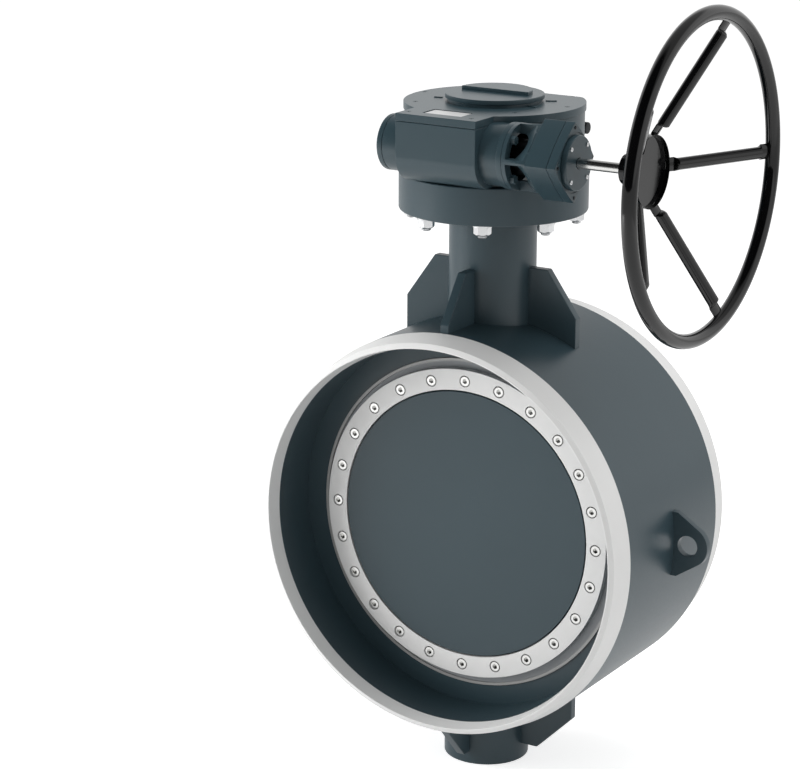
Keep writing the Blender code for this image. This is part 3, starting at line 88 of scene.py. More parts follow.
# White studio paper. It lights the paint as matt paper does. Seen directly it glows a little, so
# that it stays white and keeps the valve's faint shadow, and less where the paint mirrors it.
FLOOR_HEIGHT = cad_box[0][2]
PAPER_GLOW = 0.68
MIRRORED_GLOW = 0.34
paper, tree, output = new_material("white_studio_paper")
seen = add(tree, "ShaderNodeLightPath")
direct = add(tree, "ShaderNodeMath", {0: seen.outputs["Is Camera Ray"],
                                      1: seen.outputs["Is Glossy Ray"]}, operation="MAXIMUM")
grain = add(tree, "ShaderNodeTexNoise", {"Scale": 300.0})
colour = add(tree, "ShaderNodeMix", {"Factor": grain.outputs["Fac"], 6: linear("ECECEC"),
                                     7: linear("E8E8E8")}, data_type="RGBA")
matt = add(tree, "ShaderNodeBsdfDiffuse", {"Color": colour.outputs[2]})
level = add(tree, "ShaderNodeMix", {"Factor": seen.outputs["Is Camera Ray"], 2: MIRRORED_GLOW,
                                    3: PAPER_GLOW})
glow = add(tree, "ShaderNodeEmission", {"Color": (1, 1, 1, 1), "Strength": level.outputs[0]})
both = add(tree, "ShaderNodeAddShader", {0: matt.outputs[0], 1: glow.outputs[0]})
surface = add(tree, "ShaderNodeMixShader", {0: direct.outputs[0], 1: matt.outputs[0],
                                            2: both.outputs[0]})
tree.links.new(surface.outputs[0], output.inputs["Surface"])

bpy.ops.object.select_all(action="DESELECT")
bpy.ops.mesh.primitive_plane_add(size=60, location=(0, 0, FLOOR_HEIGHT))
floor = bpy.context.object
floor.name = "floor"
bpy.ops.object.transform_apply(location=True)
floor.data.materials.append(paper)

# The room is white to the camera and through glass. Polished and painted faces mirror the same
# white, but for a dark screen that stands above the camera and a ceiling at less than half of
# the white. Dull faces get an even, softer light from it.
SCREEN_WAY = (-0.10, -0.86, 0.50)
SCREEN_EDGE = (0.3, 0.5)
CEILING_EDGE = (0.52, 0.64)
SOFT_LIGHT = 0.42
world = bpy.data.worlds.new("soft_studio")
bpy.context.scene.world = world
world.use_nodes = True
tree = world.node_tree
tree.nodes.clear()
seen = add(tree, "ShaderNodeLightPath")
direct = add(tree, "ShaderNodeMath", {0: seen.outputs["Is Camera Ray"],
                                      1: seen.outputs["Is Glossy Ray"]}, operation="MAXIMUM")
backdrop = add(tree, "ShaderNodeMath", {0: direct.outputs[0],
                                        1: seen.outputs["Is Transmission Ray"]},
               operation="MAXIMUM")
way = add(tree, "ShaderNodeTexCoord").outputs["Generated"]
facing = add(tree, "ShaderNodeVectorMath", {0: way, 1: SCREEN_WAY}, operation="DOT_PRODUCT")
screen = add(tree, "ShaderNodeMapRange", {"Value": facing.outputs["Value"], 1: SCREEN_EDGE[0],
                                          2: SCREEN_EDGE[1], 3: 1.0, 4: 0.03})
height = add(tree, "ShaderNodeSeparateXYZ", {"Vector": way})
ceiling = add(tree, "ShaderNodeMapRange", {"Value": height.outputs["Z"], 1: CEILING_EDGE[0],
                                           2: CEILING_EDGE[1], 3: 1.0, 4: 0.45})
room = add(tree, "ShaderNodeMath", {0: screen.outputs[0], 1: ceiling.outputs[0]},
           operation="MULTIPLY")
mirrored = add(tree, "ShaderNodeMix", {"Factor": seen.outputs["Is Glossy Ray"], 2: 1.0,
                                       3: room.outputs[0]})
soft = add(tree, "ShaderNodeBackground", {"Color": (1, 1, 1, 1), "Strength": SOFT_LIGHT})
white = add(tree, "ShaderNodeBackground", {"Color": (1, 1, 1, 1),
                                           "Strength": mirrored.outputs[0]})
sky = add(tree, "ShaderNodeMixShader", {0: backdrop.outputs[0], 1: soft.outputs[0],
                                        2: white.outputs[0]})
add(tree, "ShaderNodeOutputWorld", {"Surface": sky.outputs[0]})

# Three square lamps aim at the barrel: the key from the left front, one overhead, and a wide fill
# from the handwheel's side. They light dull faces only, so no lamp shows in the paint.
LAMP_AIM = Vector((0, 0, 0.1))
for name, place, size, power in (("key_light", (-2.3, -1.55, 0.55), 1.6, 64),
                                 ("top_light", (0.4, 0.3, 3.2), 1.6, 40),
                                 ("fill_light", (2.8, 0.3, 0.9), 3.2, 27)):
    bpy.ops.object.light_add(type="AREA", location=place)
    lamp = bpy.context.object
    lamp.name = name
    lamp.data.size = size
    lamp.data.energy = power
    lamp.visible_camera = lamp.visible_glossy = False
    lamp.rotation_euler = (LAMP_AIM - Vector(place)).to_track_quat("-Z", "Y").to_euler()

AZIMUTH = math.radians(31.63)
ELEVATION = math.radians(15.79)
ROLL = math.radians(0.22)
AIM = Vector((-0.1314, -0.0092, 0.1485))
DISTANCE = 3.5394
camera_turn = (Matrix.Rotation(AZIMUTH, 4, "Z") @ Matrix.Rotation(math.pi / 2 - ELEVATION, 4, "X")
               @ Matrix.Rotation(ROLL, 4, "Z"))
bpy.ops.object.camera_add()
camera = bpy.context.object
camera.matrix_world = Matrix.Translation(AIM + camera_turn.col[2].to_3d() * DISTANCE) @ camera_turn
camera.data.lens = 122.054
camera.data.sensor_width = 36
camera.data.clip_end = 100
bpy.context.scene.camera = camera
bpy.context.scene.view_settings.view_transform = "Standard"

# Body -----------------------------------------------------------------------------------------
# A forged steel barrel with its ends turned bare for butt welding, and the rest of it painted
# inside and out. The neck, the bottom stub, the gussets and the lifting lugs are welded on.

PIPE_CENTRE = Vector((0.006, 0, 0))
UP = Vector((0, 0, 1))
ALONG_PIPE = Vector((0, 1, 0))
PIPE_RADIUS = 0.254
BARREL_RADIUS = 0.260
BORE_RADIUS = 0.2438
HALF_LENGTH = 0.155
WELD_TAPER = 0.035
WELD_BEVEL = 0.0027
WELD_FACE = (0.2470, 0.2482)
BORE_TAPER = 0.0204
NECK_RADIUS = 0.0556
NECK_BORE = 0.0363
NECK_TOP = 0.430
STUB_BOTTOM = -0.3368
STEM_BORE = 0.0303


def edit_new(name, point):
    """Starts a mesh as one vertex at a point, and stays in edit mode."""
    bpy.ops.object.select_all(action="DESELECT")
    bpy.ops.mesh.primitive_plane_add(size=0.01, enter_editmode=True)
    made = bpy.context.object
    made.name = name
    bpy.ops.mesh.select_mode(type="VERT")
    bpy.ops.mesh.merge(type="CENTER")
    bpy.ops.transform.translate(value=point)
    return made


def draw(points):
    """Extrudes the selected vertex from point to point."""
    for here, there in zip(points, points[1:]):
        bpy.ops.mesh.extrude_region_move(TRANSFORM_OT_translate={"value": there - here})


def close_up():
    """Merges doubles, turns the faces outwards and leaves edit mode."""
    bpy.ops.mesh.select_all(action="SELECT")
    bpy.ops.mesh.remove_doubles(threshold=0.000002)
    bpy.ops.mesh.normals_make_consistent(inside=False)
    bpy.ops.object.mode_set(mode="OBJECT")


def apply_modifier(piece, kind, **settings):
    """Adds one modifier and applies it."""
    bpy.ops.object.select_all(action="DESELECT")
    piece.select_set(True)
    bpy.context.view_layer.objects.active = piece
    modifier = piece.modifiers.new("shape", kind)
    for name, value in settings.items():
        setattr(modifier, name, value)
    bpy.ops.object.modifier_apply(modifier="shape")


def soften(piece, width, segments=2, angle=35):
    """Rounds the sharp edges."""
    apply_modifier(piece, "BEVEL", width=width, segments=segments, limit_method="ANGLE",
                   angle_limit=math.radians(angle), use_clamp_overlap=True)


def lathe(name, profile, centre, axis, steps=128):
    """Spins a closed profile of (radius, distance along the axis) round the axis."""
    side = Vector((0, 0, 1)) if abs(axis.z) < 0.5 else Vector((1, 0, 0))
    points = [centre + side * radius + axis * along for radius, along in profile]
    points.append(points[0])
    made = edit_new(name, points[0])
    draw(points)
    bpy.ops.mesh.select_all(action="SELECT")
    bpy.ops.mesh.remove_doubles(threshold=0.000002)
    bpy.ops.mesh.spin(steps=steps, angle=2 * math.pi, center=centre, axis=axis)
    close_up()
    return made


def slab(name, outline, thickness):
    """Fills a closed outline and extrudes it by the thickness vector."""
    made = edit_new(name, outline[0])
    draw(outline + [outline[0]])
    bpy.ops.mesh.select_all(action="SELECT")
    bpy.ops.mesh.remove_doubles(threshold=0.000002)
    bpy.ops.mesh.edge_face_add()
    bpy.ops.mesh.extrude_region_move(TRANSFORM_OT_translate={"value": thickness})
    close_up()
    return made


def arc(centre, radius, start, end, count, across, up):
    """Points on an arc, in degrees from across towards up."""
    points = []
    for step in range(count + 1):
        angle = math.radians(start + (end - start) * step / count)
        points.append(centre + (across * math.cos(angle) + up * math.sin(angle)) * radius)
    return points


def subtract(piece, cutter):
    """Cuts one shape out of another and removes the cutter."""
    apply_modifier(piece, "BOOLEAN", operation="DIFFERENCE", solver="EXACT", object=cutter)
    bpy.data.objects.remove(cutter)


def dress(piece, body, materials, replaced=(), smooth=32):
    """Shades a finished piece, gives it its materials and lets it ride on its body."""
    bpy.ops.object.select_all(action="DESELECT")
    piece.select_set(True)
    bpy.context.view_layer.objects.active = piece
    bpy.ops.object.shade_smooth_by_angle(angle=math.radians(smooth))
    apply_modifier(piece, "WEIGHTED_NORMAL", keep_sharp=True)
    for material in materials:
        piece.data.materials.append(material)
    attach(piece, body)
    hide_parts(*replaced)
    return piece


def painted(name, colour_low, colour_high, roughness, grain_mm, grain_depth_mm):
    """Paint, or another dull skin, with slow shifts of tone and a fine grain."""
    material, tree, output = new_material(name)
    place = add(tree, "ShaderNodeTexCoord").outputs["Object"]
    drift = add(tree, "ShaderNodeTexNoise", {"Vector": place, "Scale": 1 / 0.12, "Detail": 3.0})
    tone = add(tree, "ShaderNodeMix", {"Factor": drift.outputs["Fac"], 6: linear(colour_low),
                                       7: linear(colour_high)}, data_type="RGBA")
    skin = add(tree, "ShaderNodeTexNoise", {"Vector": place, "Scale": 1000 / grain_mm,
                                            "Detail": 4.0, "Roughness": 0.6})
    sheen = add(tree, "ShaderNodeMapRange", {"Value": skin.outputs["Fac"], 3: roughness * 0.88,
                                             4: roughness * 1.12})
    bump = add(tree, "ShaderNodeBump", {"Height": skin.outputs["Fac"], "Strength": 0.35,
                                        "Distance": grain_depth_mm / 1000})
    shader = add(tree, "ShaderNodeBsdfPrincipled", {
        "Base Color": tone.outputs[2], "Roughness": sheen.outputs[0],
        "Normal": bump.outputs[0], "IOR": 1.5})
    tree.links.new(shader.outputs[0], output.inputs["Surface"])
    return material


# Satin alkyd enamel sprayed on turned steel and plate: an even blue-grey with a faint
# orange-peel skin and a broad, soft highlight.
satin_enamel = painted("satin_enamel_on_steel", "2F4047", "35464D", 0.34, 4.0, 0.08)


def turned_steel(name, colour_low, colour_high, roughness, groove_mm, centre, axis, metallic=1.0):
    """Bare metal with fine grooves that run round an axis."""
    material, tree, output = new_material(name)
    place = add(tree, "ShaderNodeTexCoord").outputs["Object"]
    moved = add(tree, "ShaderNodeMapping", {"Vector": place, "Location": tuple(-centre)})
    split = add(tree, "ShaderNodeSeparateXYZ", {"Vector": moved.outputs[0]})
    names = [letter for letter, part in zip("XYZ", axis) if abs(part) < 0.5]
    flat = add(tree, "ShaderNodeCombineXYZ", {0: split.outputs[names[0]],
                                              1: split.outputs[names[1]]})
    radius = add(tree, "ShaderNodeVectorMath", {0: flat.outputs[0]}, operation="LENGTH")
    along = [letter for letter, part in zip("XYZ", axis) if abs(part) > 0.5][0]
    grooves = add(tree, "ShaderNodeCombineXYZ", {0: radius.outputs["Value"],
                                                 1: split.outputs[along]})
    lines = add(tree, "ShaderNodeTexNoise", {"Vector": grooves.outputs[0],
                                             "Scale": 1000 / groove_mm, "Detail": 2.0})
    drift = add(tree, "ShaderNodeTexNoise", {"Vector": place, "Scale": 1 / 0.06, "Detail": 2.0})
    tone = add(tree, "ShaderNodeMix", {"Factor": drift.outputs["Fac"], 6: linear(colour_low),
                                       7: linear(colour_high)}, data_type="RGBA")
    sheen = add(tree, "ShaderNodeMapRange", {"Value": lines.outputs["Fac"], 3: roughness - 0.08,
                                             4: roughness + 0.08})
    bump = add(tree, "ShaderNodeBump", {"Height": lines.outputs["Fac"], "Strength": 0.25,
                                        "Distance": 0.00008})
    shader = add(tree, "ShaderNodeBsdfPrincipled", {
        "Base Color": tone.outputs[2], "Roughness": sheen.outputs[0], "Metallic": metallic,
        "Normal": bump.outputs[0]})
    tree.links.new(shader.outputs[0], output.inputs["Surface"])
    return material


# Bare carbon steel, turned for welding and kept from rust by a clear matt lacquer: an even pale
# grey with rings left by the tool. The real rings are about 0.3 mm apart, and are drawn 2 mm
# apart so that they show.
bare_weld_steel = turned_steel("lacquered_bare_steel", "E4E4E3", "EAEAE9", 0.45, 2.0, PIPE_CENTRE,
                               ALONG_PIPE, 0.05)

rear_end = [(BORE_RADIUS, HALF_LENGTH - BORE_TAPER), (WELD_FACE[0], HALF_LENGTH),
            (WELD_FACE[1], HALF_LENGTH), (PIPE_RADIUS, HALF_LENGTH - WELD_BEVEL),
            (BARREL_RADIUS, HALF_LENGTH - WELD_TAPER)]
front_end = [(radius, -along) for radius, along in reversed(rear_end)]
barrel = lathe("barrel", rear_end + front_end, PIPE_CENTRE, ALONG_PIPE, 192)
dress(barrel, "valve", [satin_enamel, bare_weld_steel], ["body_shell"], 4)
for face in barrel.data.polygons:
    reach = abs(face.center.y)
    across = math.hypot(face.center.x - PIPE_CENTRE.x, face.center.z)
    outside = across > (BORE_RADIUS + PIPE_RADIUS) / 2
    turned_from = HALF_LENGTH - (WELD_TAPER if outside else BORE_TAPER)
    face.material_index = 1 if reach > turned_from + 0.001 else 0

for name, low, high in (("neck", 0.225, NECK_TOP), ("bottom_stub", STUB_BOTTOM, -0.225)):
    tube = lathe(name, [(NECK_BORE, low), (NECK_RADIUS, low), (NECK_RADIUS, high),
                        (NECK_BORE, high)], Vector(), UP, 96)
    soften(tube, 0.0012)
    dress(tube, "valve", [satin_enamel])
for name, low, high in (("upper_hub_boss", 0.236, 0.245), ("lower_hub_boss", -0.245, -0.236)):
    boss = lathe(name, [(STEM_BORE, low), (0.053, low), (0.053, high), (STEM_BORE, high)],
                 Vector(), UP, 96)
    soften(boss, 0.001)
    dress(boss, "valve", [satin_enamel])


def barrel_height(x):
    """How high the barrel's skin is at a distance along X."""
    return math.sqrt(BARREL_RADIUS ** 2 - (x - PIPE_CENTRE.x) ** 2)


GUSSET_THICKNESS = 0.012
TOP_RIB = {"head": 0.077, "head_level": 0.3285, "foot": 0.1185, "foot_level": 0.2705,
           "side_extra": 0.005, "side_drop": 0}
BOTTOM_RIB = {"head": 0.068, "head_level": 0.320, "foot": 0.1185, "foot_level": 0.265,
              "side_extra": 0.011, "side_drop": 0.005}
for name, side, rib in (("top_gusset", 1, TOP_RIB), ("bottom_gusset", -1, BOTTOM_RIB)):
    for quarter in range(4):
        out = Vector((math.cos(quarter * math.pi / 2), math.sin(quarter * math.pi / 2), 0))
        across = Vector((-out.y, out.x, 0))
        beside = quarter % 2 == 0
        head = rib["head"] + (rib["side_extra"] if beside else 0)
        foot = rib["foot"] + (rib["side_extra"] if beside else 0)
        level = side * (rib["head_level"] - (rib["side_drop"] if beside else 0))
        corners = [(0.045, side * 0.238), (0.045, level), (head, level),
                   (foot, side * rib["foot_level"])]
        foot_skin = barrel_height((out * foot).x) if beside else BARREL_RADIUS
        corners.append((foot, side * (foot_skin - 0.004)))
        outline = [out * reach + UP * z - across * GUSSET_THICKNESS / 2 for reach, z in corners]
        gusset = slab(f"{name}_{quarter + 1}", outline, across * GUSSET_THICKNESS)
        soften(gusset, 0.0012)
        dress(gusset, "valve", [satin_enamel])

LUG_HOLE = 0.2785
LUG_HOLE_RADIUS = 0.0133
LUG_NOSE = 0.0272
LUG_BASE = 0.042
LUG_SHOULDER = 0.0075
LUG_ROOT = 0.012
LUG_FRONT = -0.001
LUG_THICKNESS = 0.010
for name, side in (("lifting_lug_right", 1), ("lifting_lug_left", -1)):
    out = Vector((side, 0, 0))
    base = math.sqrt(BARREL_RADIUS ** 2 - LUG_BASE ** 2)
    corner = base + LUG_SHOULDER
    lean = math.degrees(math.atan2(LUG_BASE, corner - LUG_HOLE)
                        - math.acos(LUG_NOSE / math.hypot(LUG_HOLE - corner, LUG_BASE)))
    front = PIPE_CENTRE + ALONG_PIPE * LUG_FRONT
    outline = [front + out * (base - LUG_ROOT) + UP * -LUG_BASE,
               front + out * corner + UP * -LUG_BASE]
    outline += arc(front + out * LUG_HOLE, LUG_NOSE, -lean, lean, 32, out, UP)
    outline += [front + out * corner + UP * LUG_BASE,
                front + out * (base - LUG_ROOT) + UP * LUG_BASE]
    lug = slab(name, outline, ALONG_PIPE * LUG_THICKNESS)
    hole = lathe("lug_hole", [(0, -0.02), (LUG_HOLE_RADIUS, -0.02), (LUG_HOLE_RADIUS, 0.02),
                              (0, 0.02)], PIPE_CENTRE + out * LUG_HOLE, ALONG_PIPE, 64)
    subtract(lug, hole)
    soften(lug, 0.0008)
    dress(lug, "valve", [satin_enamel])

# Stem and its bearings ------------------------------------------------------------------------
# A turned stainless stem in bronze bushes and a thrust ring, sealed by graphite rings under a
# screwed gland. A steel plug closes the stub. Most of it is hidden inside the neck.

# Stainless bar, finely turned and left bright.
turned_stainless = turned_steel("turned_stainless", "BDBDBB", "C9C9C7", 0.28, 1.0, Vector(), UP)
# Tin bronze, machined: a warm brown-gold with fine tool rings.
machined_bronze = turned_steel("machined_bronze", "A67C45", "B58B52", 0.35, 1.0, Vector(), UP)
# Pressed graphite: near black with a dull sheen and a fine grain.
pressed_graphite = painted("pressed_graphite", "1B1B1C", "232324", 0.55, 0.8, 0.03)
# Carbon steel as machined, lightly oiled: a mid grey with soft rings.
machined_steel = turned_steel("machined_carbon_steel", "8C8C8B", "9A9A98", 0.35, 1.0, Vector(), UP)

for name, finish in (("stem", turned_stainless), ("gland_nut", turned_stainless),
                     ("upper_stem_bearing", machined_bronze),
                     ("lower_stem_bearing", machined_bronze), ("thrust_ring", machined_bronze),
                     ("worm_wheel", machined_bronze), ("packing_ring_1", pressed_graphite),
                     ("packing_ring_2", pressed_graphite), ("packing_ring_3", pressed_graphite),
                     ("worm", machined_steel), ("planet_carrier", machined_steel),
                     ("worm_bearing_left", machined_steel),
                     ("worm_bearing_right", machined_steel), ("planet_gear_1", machined_steel),
                     ("planet_gear_2", machined_steel), ("planet_gear_3", machined_steel)):
    for place in nodes[name].material_slots:
        place.material = finish

PLUG_RADIUS = 0.0358
PLUG_BOTTOM = STUB_BOTTOM + 0.003
PLUG_TOP = PLUG_BOTTOM + 0.024
plug = lathe("plug_in_stub", [(0, PLUG_BOTTOM), (PLUG_RADIUS, PLUG_BOTTOM),
                              (PLUG_RADIUS, PLUG_TOP), (0, PLUG_TOP)], Vector(), UP, 64)
socket = lathe("plug_socket", [(0, -0.34), (0.0085, -0.34), (0.0085, -0.324), (0, -0.324)],
               Vector(), UP, 6)
subtract(plug, socket)
soften(plug, 0.0008)
dress(plug, "valve", [machined_steel], ["bottom_plug"])

# Seat, disc, seal and retaining ring ----------------------------------------------------------
# The disc is a painted casting whose hub turns with the stem. A laminated seal ring, clamped by
# a bolted stainless ring, closes on the seat ring's skewed cone in the body.

LIP_FRONT = -0.0695
LIP_CENTRE = 0.009
LIP_OUTER = 0.2168
SEAT_FOOT = 0.2213
SEAT_BACK = -0.057
SHOULDER_FRONT = -0.0672
SEAL_BACK, SEAL_FRONT = -0.0595, -0.0675
CLAMP_BACK, CLAMP_SEAT, CLAMP_FACE = -0.0677, -0.0698, -0.0775
CLAMP_INNER, CLAMP_STEP, CLAMP_OUTER = 0.1767, 0.1967, 0.2043


def ring_of_circles(name, circles, steps=160):
    """Extrudes a circle round the pipe's direction through circles of (centre x, y, radius)."""
    bpy.ops.object.select_all(action="DESELECT")
    bpy.ops.mesh.primitive_circle_add(vertices=steps, radius=1, rotation=(math.pi / 2, 0, 0))
    made = bpy.context.object
    made.name = name
    bpy.ops.object.transform_apply(rotation=True)
    bpy.ops.object.mode_set(mode="EDIT")
    bpy.ops.mesh.select_mode(type="VERT")
    bpy.ops.mesh.select_all(action="SELECT")
    for _ in circles:
        bpy.ops.mesh.extrude_edges_move(TRANSFORM_OT_translate={"value": (0, -2, 0)})
    bpy.ops.object.mode_set(mode="OBJECT")
    for vertex in made.data.vertices:
        loop = round(-vertex.co.y / 2) % len(circles)
        x, y, radius = circles[loop]
        across = Vector((vertex.co.x, 0, vertex.co.z)).normalized()
        vertex.co = Vector((x, y, 0)) + across * radius
    bpy.ops.object.mode_set(mode="EDIT")
    close_up()
    return made


shoulder = ring_of_circles("seat_shoulder", [
    (PIPE_CENTRE.x, -0.050, 0.2445), (PIPE_CENTRE.x, SHOULDER_FRONT, 0.2445),
    (LIP_CENTRE, SHOULDER_FRONT, 0.2170), (LIP_CENTRE, -0.0666, 0.2170),
    (LIP_CENTRE, -0.0656, 0.2216), (LIP_CENTRE, -0.050, 0.2216)])
dress(shoulder, "valve", [satin_enamel])

# Ground stainless: brighter and smoother than the weld ends, with rings about the pipe's axis.
ground_stainless = turned_steel("ground_stainless", "DEDEDD", "E5E5E4", 0.36, 1.5, PIPE_CENTRE,
                                ALONG_PIPE, 0.2)
# The seat's weld overlay, lapped after turning: a duller, darker grey than the clamp ring.
lapped_seat_steel = turned_steel("lapped_seat_steel", "A2A2A1", "ACACAB", 0.38, 1.5, PIPE_CENTRE,
                                 ALONG_PIPE, 0.3)
seat = ring_of_circles("seat_in_body", [
    (LIP_CENTRE, SEAT_BACK, SEAT_FOOT), (LIP_CENTRE, -0.0655, SEAT_FOOT),
    (LIP_CENTRE, -0.0665, LIP_OUTER), (LIP_CENTRE, LIP_FRONT, LIP_OUTER),
    (LIP_CENTRE, LIP_FRONT, 0.2126), (0.01275, SEAT_BACK, 0.2166)])
soften(seat, 0.0004, 1)
dress(seat, "valve", [lapped_seat_steel], ["seat_ring"])
# The seal's stack of thin steel and graphite rings, ground to the cone: an even mid grey with
# little shine.
laminated_rings = turned_steel("laminated_steel_and_graphite", "94979A", "A0A3A6", 0.5, 1.2,
                               PIPE_CENTRE, ALONG_PIPE, 0.3)
seal = ring_of_circles("laminated_seal", [
    (0.012, SEAL_BACK, 0.2155), (0.0096, SEAL_FRONT, 0.2129),
    (PIPE_CENTRE.x, SEAL_FRONT, 0.1965), (PIPE_CENTRE.x, SEAL_BACK, 0.1965)])
dress(seal, "disc_and_stem", [laminated_rings], ["seal_ring"])

DISC_FACE, DISC_FLANGE, DISC_BACK = -0.077, -0.0592, -0.033
FACE_RADIUS, STEP_RADIUS, DISC_RADIUS = 0.1748, 0.1962, 0.205
disc_profile = [(0, DISC_BACK), (0.185, DISC_BACK), (DISC_RADIUS, -0.0452),
                (DISC_RADIUS, DISC_FLANGE), (STEP_RADIUS, DISC_FLANGE), (STEP_RADIUS, LIP_FRONT),
                (FACE_RADIUS, LIP_FRONT), (FACE_RADIUS, DISC_FACE), (0, DISC_FACE)]
disc = lathe("disc_casting", disc_profile, PIPE_CENTRE, ALONG_PIPE, 160)
soften(disc, 0.0005)
dress(disc, "disc_and_stem", [satin_enamel], ["disc"])
HUB_RADIUS = 0.048
HUB_END = 0.2299
hub = lathe("disc_hub", [(STEM_BORE, -HUB_END), (HUB_RADIUS, -HUB_END), (HUB_RADIUS, HUB_END),
                         (STEM_BORE, HUB_END)], Vector(), UP, 96)
soften(hub, 0.002)
dress(hub, "disc_and_stem", [satin_enamel])


def bead(name, points, radius):
    """A run of weld along a path, capped at its ends."""
    bpy.ops.object.select_all(action="DESELECT")
    bpy.ops.curve.primitive_nurbs_path_add(location=(0, 0, 0))
    made = bpy.context.object
    made.name = name
    made.data.splines.clear()
    run = made.data.splines.new("POLY")
    run.points.add(len(points) - 1)
    for spot, point in zip(run.points, points):
        spot.co = (*point, 1)
    made.data.bevel_depth = radius
    made.data.bevel_resolution = 3
    made.data.use_fill_caps = True
    bpy.ops.object.convert(target="MESH")
    return bpy.context.object


for side in (1, -1):
    run = [Vector((side * 0.0355, -0.0335, z)) for z in (-0.178, 0, 0.178)]
    fillet = bead(f"hub_fillet_{'right' if side > 0 else 'left'}", run, 0.006)
    dress(fillet, "disc_and_stem", [satin_enamel], smooth=60)
for name, height in (("upper", 0.120), ("lower", -0.120)):
    pin = lathe(f"hub_pin_{name}", [(0, -0.03), (0.006, -0.03), (0.006, 0.049), (0, 0.049)],
                Vector((0, 0, height)), ALONG_PIPE, 32)
    soften(pin, 0.0006)
    dress(pin, "disc_and_stem", [turned_stainless], [f"disc_pin_{name}"])

SCREW_CIRCLE = 0.1895
SCREW_COUNT = 24
screw_places = [PIPE_CENTRE + Vector((math.cos(turn), 0, math.sin(turn))) * SCREW_CIRCLE
                for turn in (2 * math.pi * index / SCREW_COUNT for index in range(SCREW_COUNT))]
clamp = ring_of_circles("clamp_ring", [
    (PIPE_CENTRE.x, CLAMP_BACK, CLAMP_OUTER), (PIPE_CENTRE.x, CLAMP_FACE, CLAMP_OUTER),
    (PIPE_CENTRE.x, CLAMP_FACE, CLAMP_INNER), (PIPE_CENTRE.x, CLAMP_SEAT, CLAMP_INNER),
    (PIPE_CENTRE.x, CLAMP_SEAT, CLAMP_STEP), (PIPE_CENTRE.x, CLAMP_BACK, CLAMP_STEP)])
soften(clamp, 0.0006)
COUNTERBORE_FLOOR = -0.0708
COUNTERBORE_RADIUS = 0.0077
for index, spot in enumerate(screw_places):
    bore = lathe("counterbore", [(0, -0.09), (COUNTERBORE_RADIUS, -0.09),
                                 (COUNTERBORE_RADIUS, COUNTERBORE_FLOOR),
                                 (0, COUNTERBORE_FLOOR)], spot, ALONG_PIPE, 32)
    if index == 0:
        bores = bore
        continue
    bpy.ops.object.select_all(action="DESELECT")
    bore.select_set(True)
    bores.select_set(True)
    bpy.context.view_layer.objects.active = bores
    bpy.ops.object.join()
subtract(clamp, bores)
dress(clamp, "disc_and_stem", [ground_stainless], ["retaining_ring"])

# Stainless cap screws: polished heads with a plain rim and a socket that stays dark.
screw_steel = turned_steel("bright_screw_steel", "D8D8D6", "E2E2E0", 0.22, 0.8, Vector(),
                           ALONG_PIPE)
HEAD_FACE, HEAD_BACK, SCREW_TIP = -0.0774, -0.0712, -0.0535
HEAD_RADIUS, SHANK_RADIUS = 0.0063, 0.004
pattern = lathe("screw_pattern", [(0, HEAD_FACE), (HEAD_RADIUS, HEAD_FACE),
                                  (HEAD_RADIUS, HEAD_BACK), (SHANK_RADIUS, HEAD_BACK),
                                  (SHANK_RADIUS, SCREW_TIP), (0, SCREW_TIP)], Vector(),
                ALONG_PIPE, 48)
soften(pattern, 0.0003)
socket = lathe("screw_socket", [(0, -0.08), (0.0036, -0.08), (0.0036, -0.0732), (0, -0.0732)],
               Vector(), ALONG_PIPE, 6)
subtract(pattern, socket)
for index, spot in enumerate(screw_places):
    screw = pattern.copy()
    screw.data = pattern.data.copy()
    screw.name = f"cap_screw_{index + 1:02d}"
    bpy.context.collection.objects.link(screw)
    screw.data.transform(Matrix.Translation(spot))
    dress(screw, "disc_and_stem", [screw_steel],
          [f"retaining_screw_{index + 1:02d}"])
bpy.data.objects.remove(pattern)

# Mounting flange, studs and nuts --------------------------------------------------------------
# A thick painted steel flange on the neck. The gearbox is bolted on it with eight zinc-plated
# studs, whose nuts sit under the flange.

FLANGE_BOTTOM = 0.3985
FLANGE_TOP = 0.4462
FLANGE_RADIUS = 0.1195
FLANGE_BORE = 0.0559
flange = lathe("gearbox_mounting_flange", [(FLANGE_BORE, FLANGE_BOTTOM),
                                           (FLANGE_RADIUS, FLANGE_BOTTOM),
                                           (FLANGE_RADIUS, FLANGE_TOP), (FLANGE_BORE, FLANGE_TOP)],
               Vector(), UP, 144)
soften(flange, 0.0018)
dress(flange, "valve", [satin_enamel], ["mounting_flange"])

# Bright zinc plating on steel: nearly white, a little bluish and half glossy.
zinc = turned_steel("zinc_plated_steel", "E6E7E8", "F0F1F2", 0.30, 1.0, Vector(), UP)
# M12: nuts 19 mm across flats and 10.8 mm high, washers 24 mm wide.
NUT_CORNERS = 0.01097
NUT_BOTTOM = 0.3852
NUT_TOP = 0.3960
WASHER_RADIUS = 0.0120
WASHER_TOP = FLANGE_BOTTOM - 0.0001
THREAD_CREST, THREAD_ROOT, THREAD_PITCH = 0.0060, 0.0052, 0.0013
STUD_END = 0.3819
STUD_CIRCLE = 0.105
STUD_COUNT = 8
NUT_TURN = math.radians(38.7)
nut = lathe("nut_pattern", [(0, NUT_BOTTOM), (NUT_CORNERS, NUT_BOTTOM), (NUT_CORNERS, NUT_TOP),
                            (0, NUT_TOP)], Vector(), UP, 6)
shell = lathe("nut_chamfer", [(0, NUT_BOTTOM), (0.0080, NUT_BOTTOM), (0.0112, 0.3877),
                              (0.0112, 0.3950), (0.0099, NUT_TOP), (0, NUT_TOP)], Vector(), UP, 48)
apply_modifier(nut, "BOOLEAN", operation="INTERSECT", solver="EXACT", object=shell)
bpy.data.objects.remove(shell)
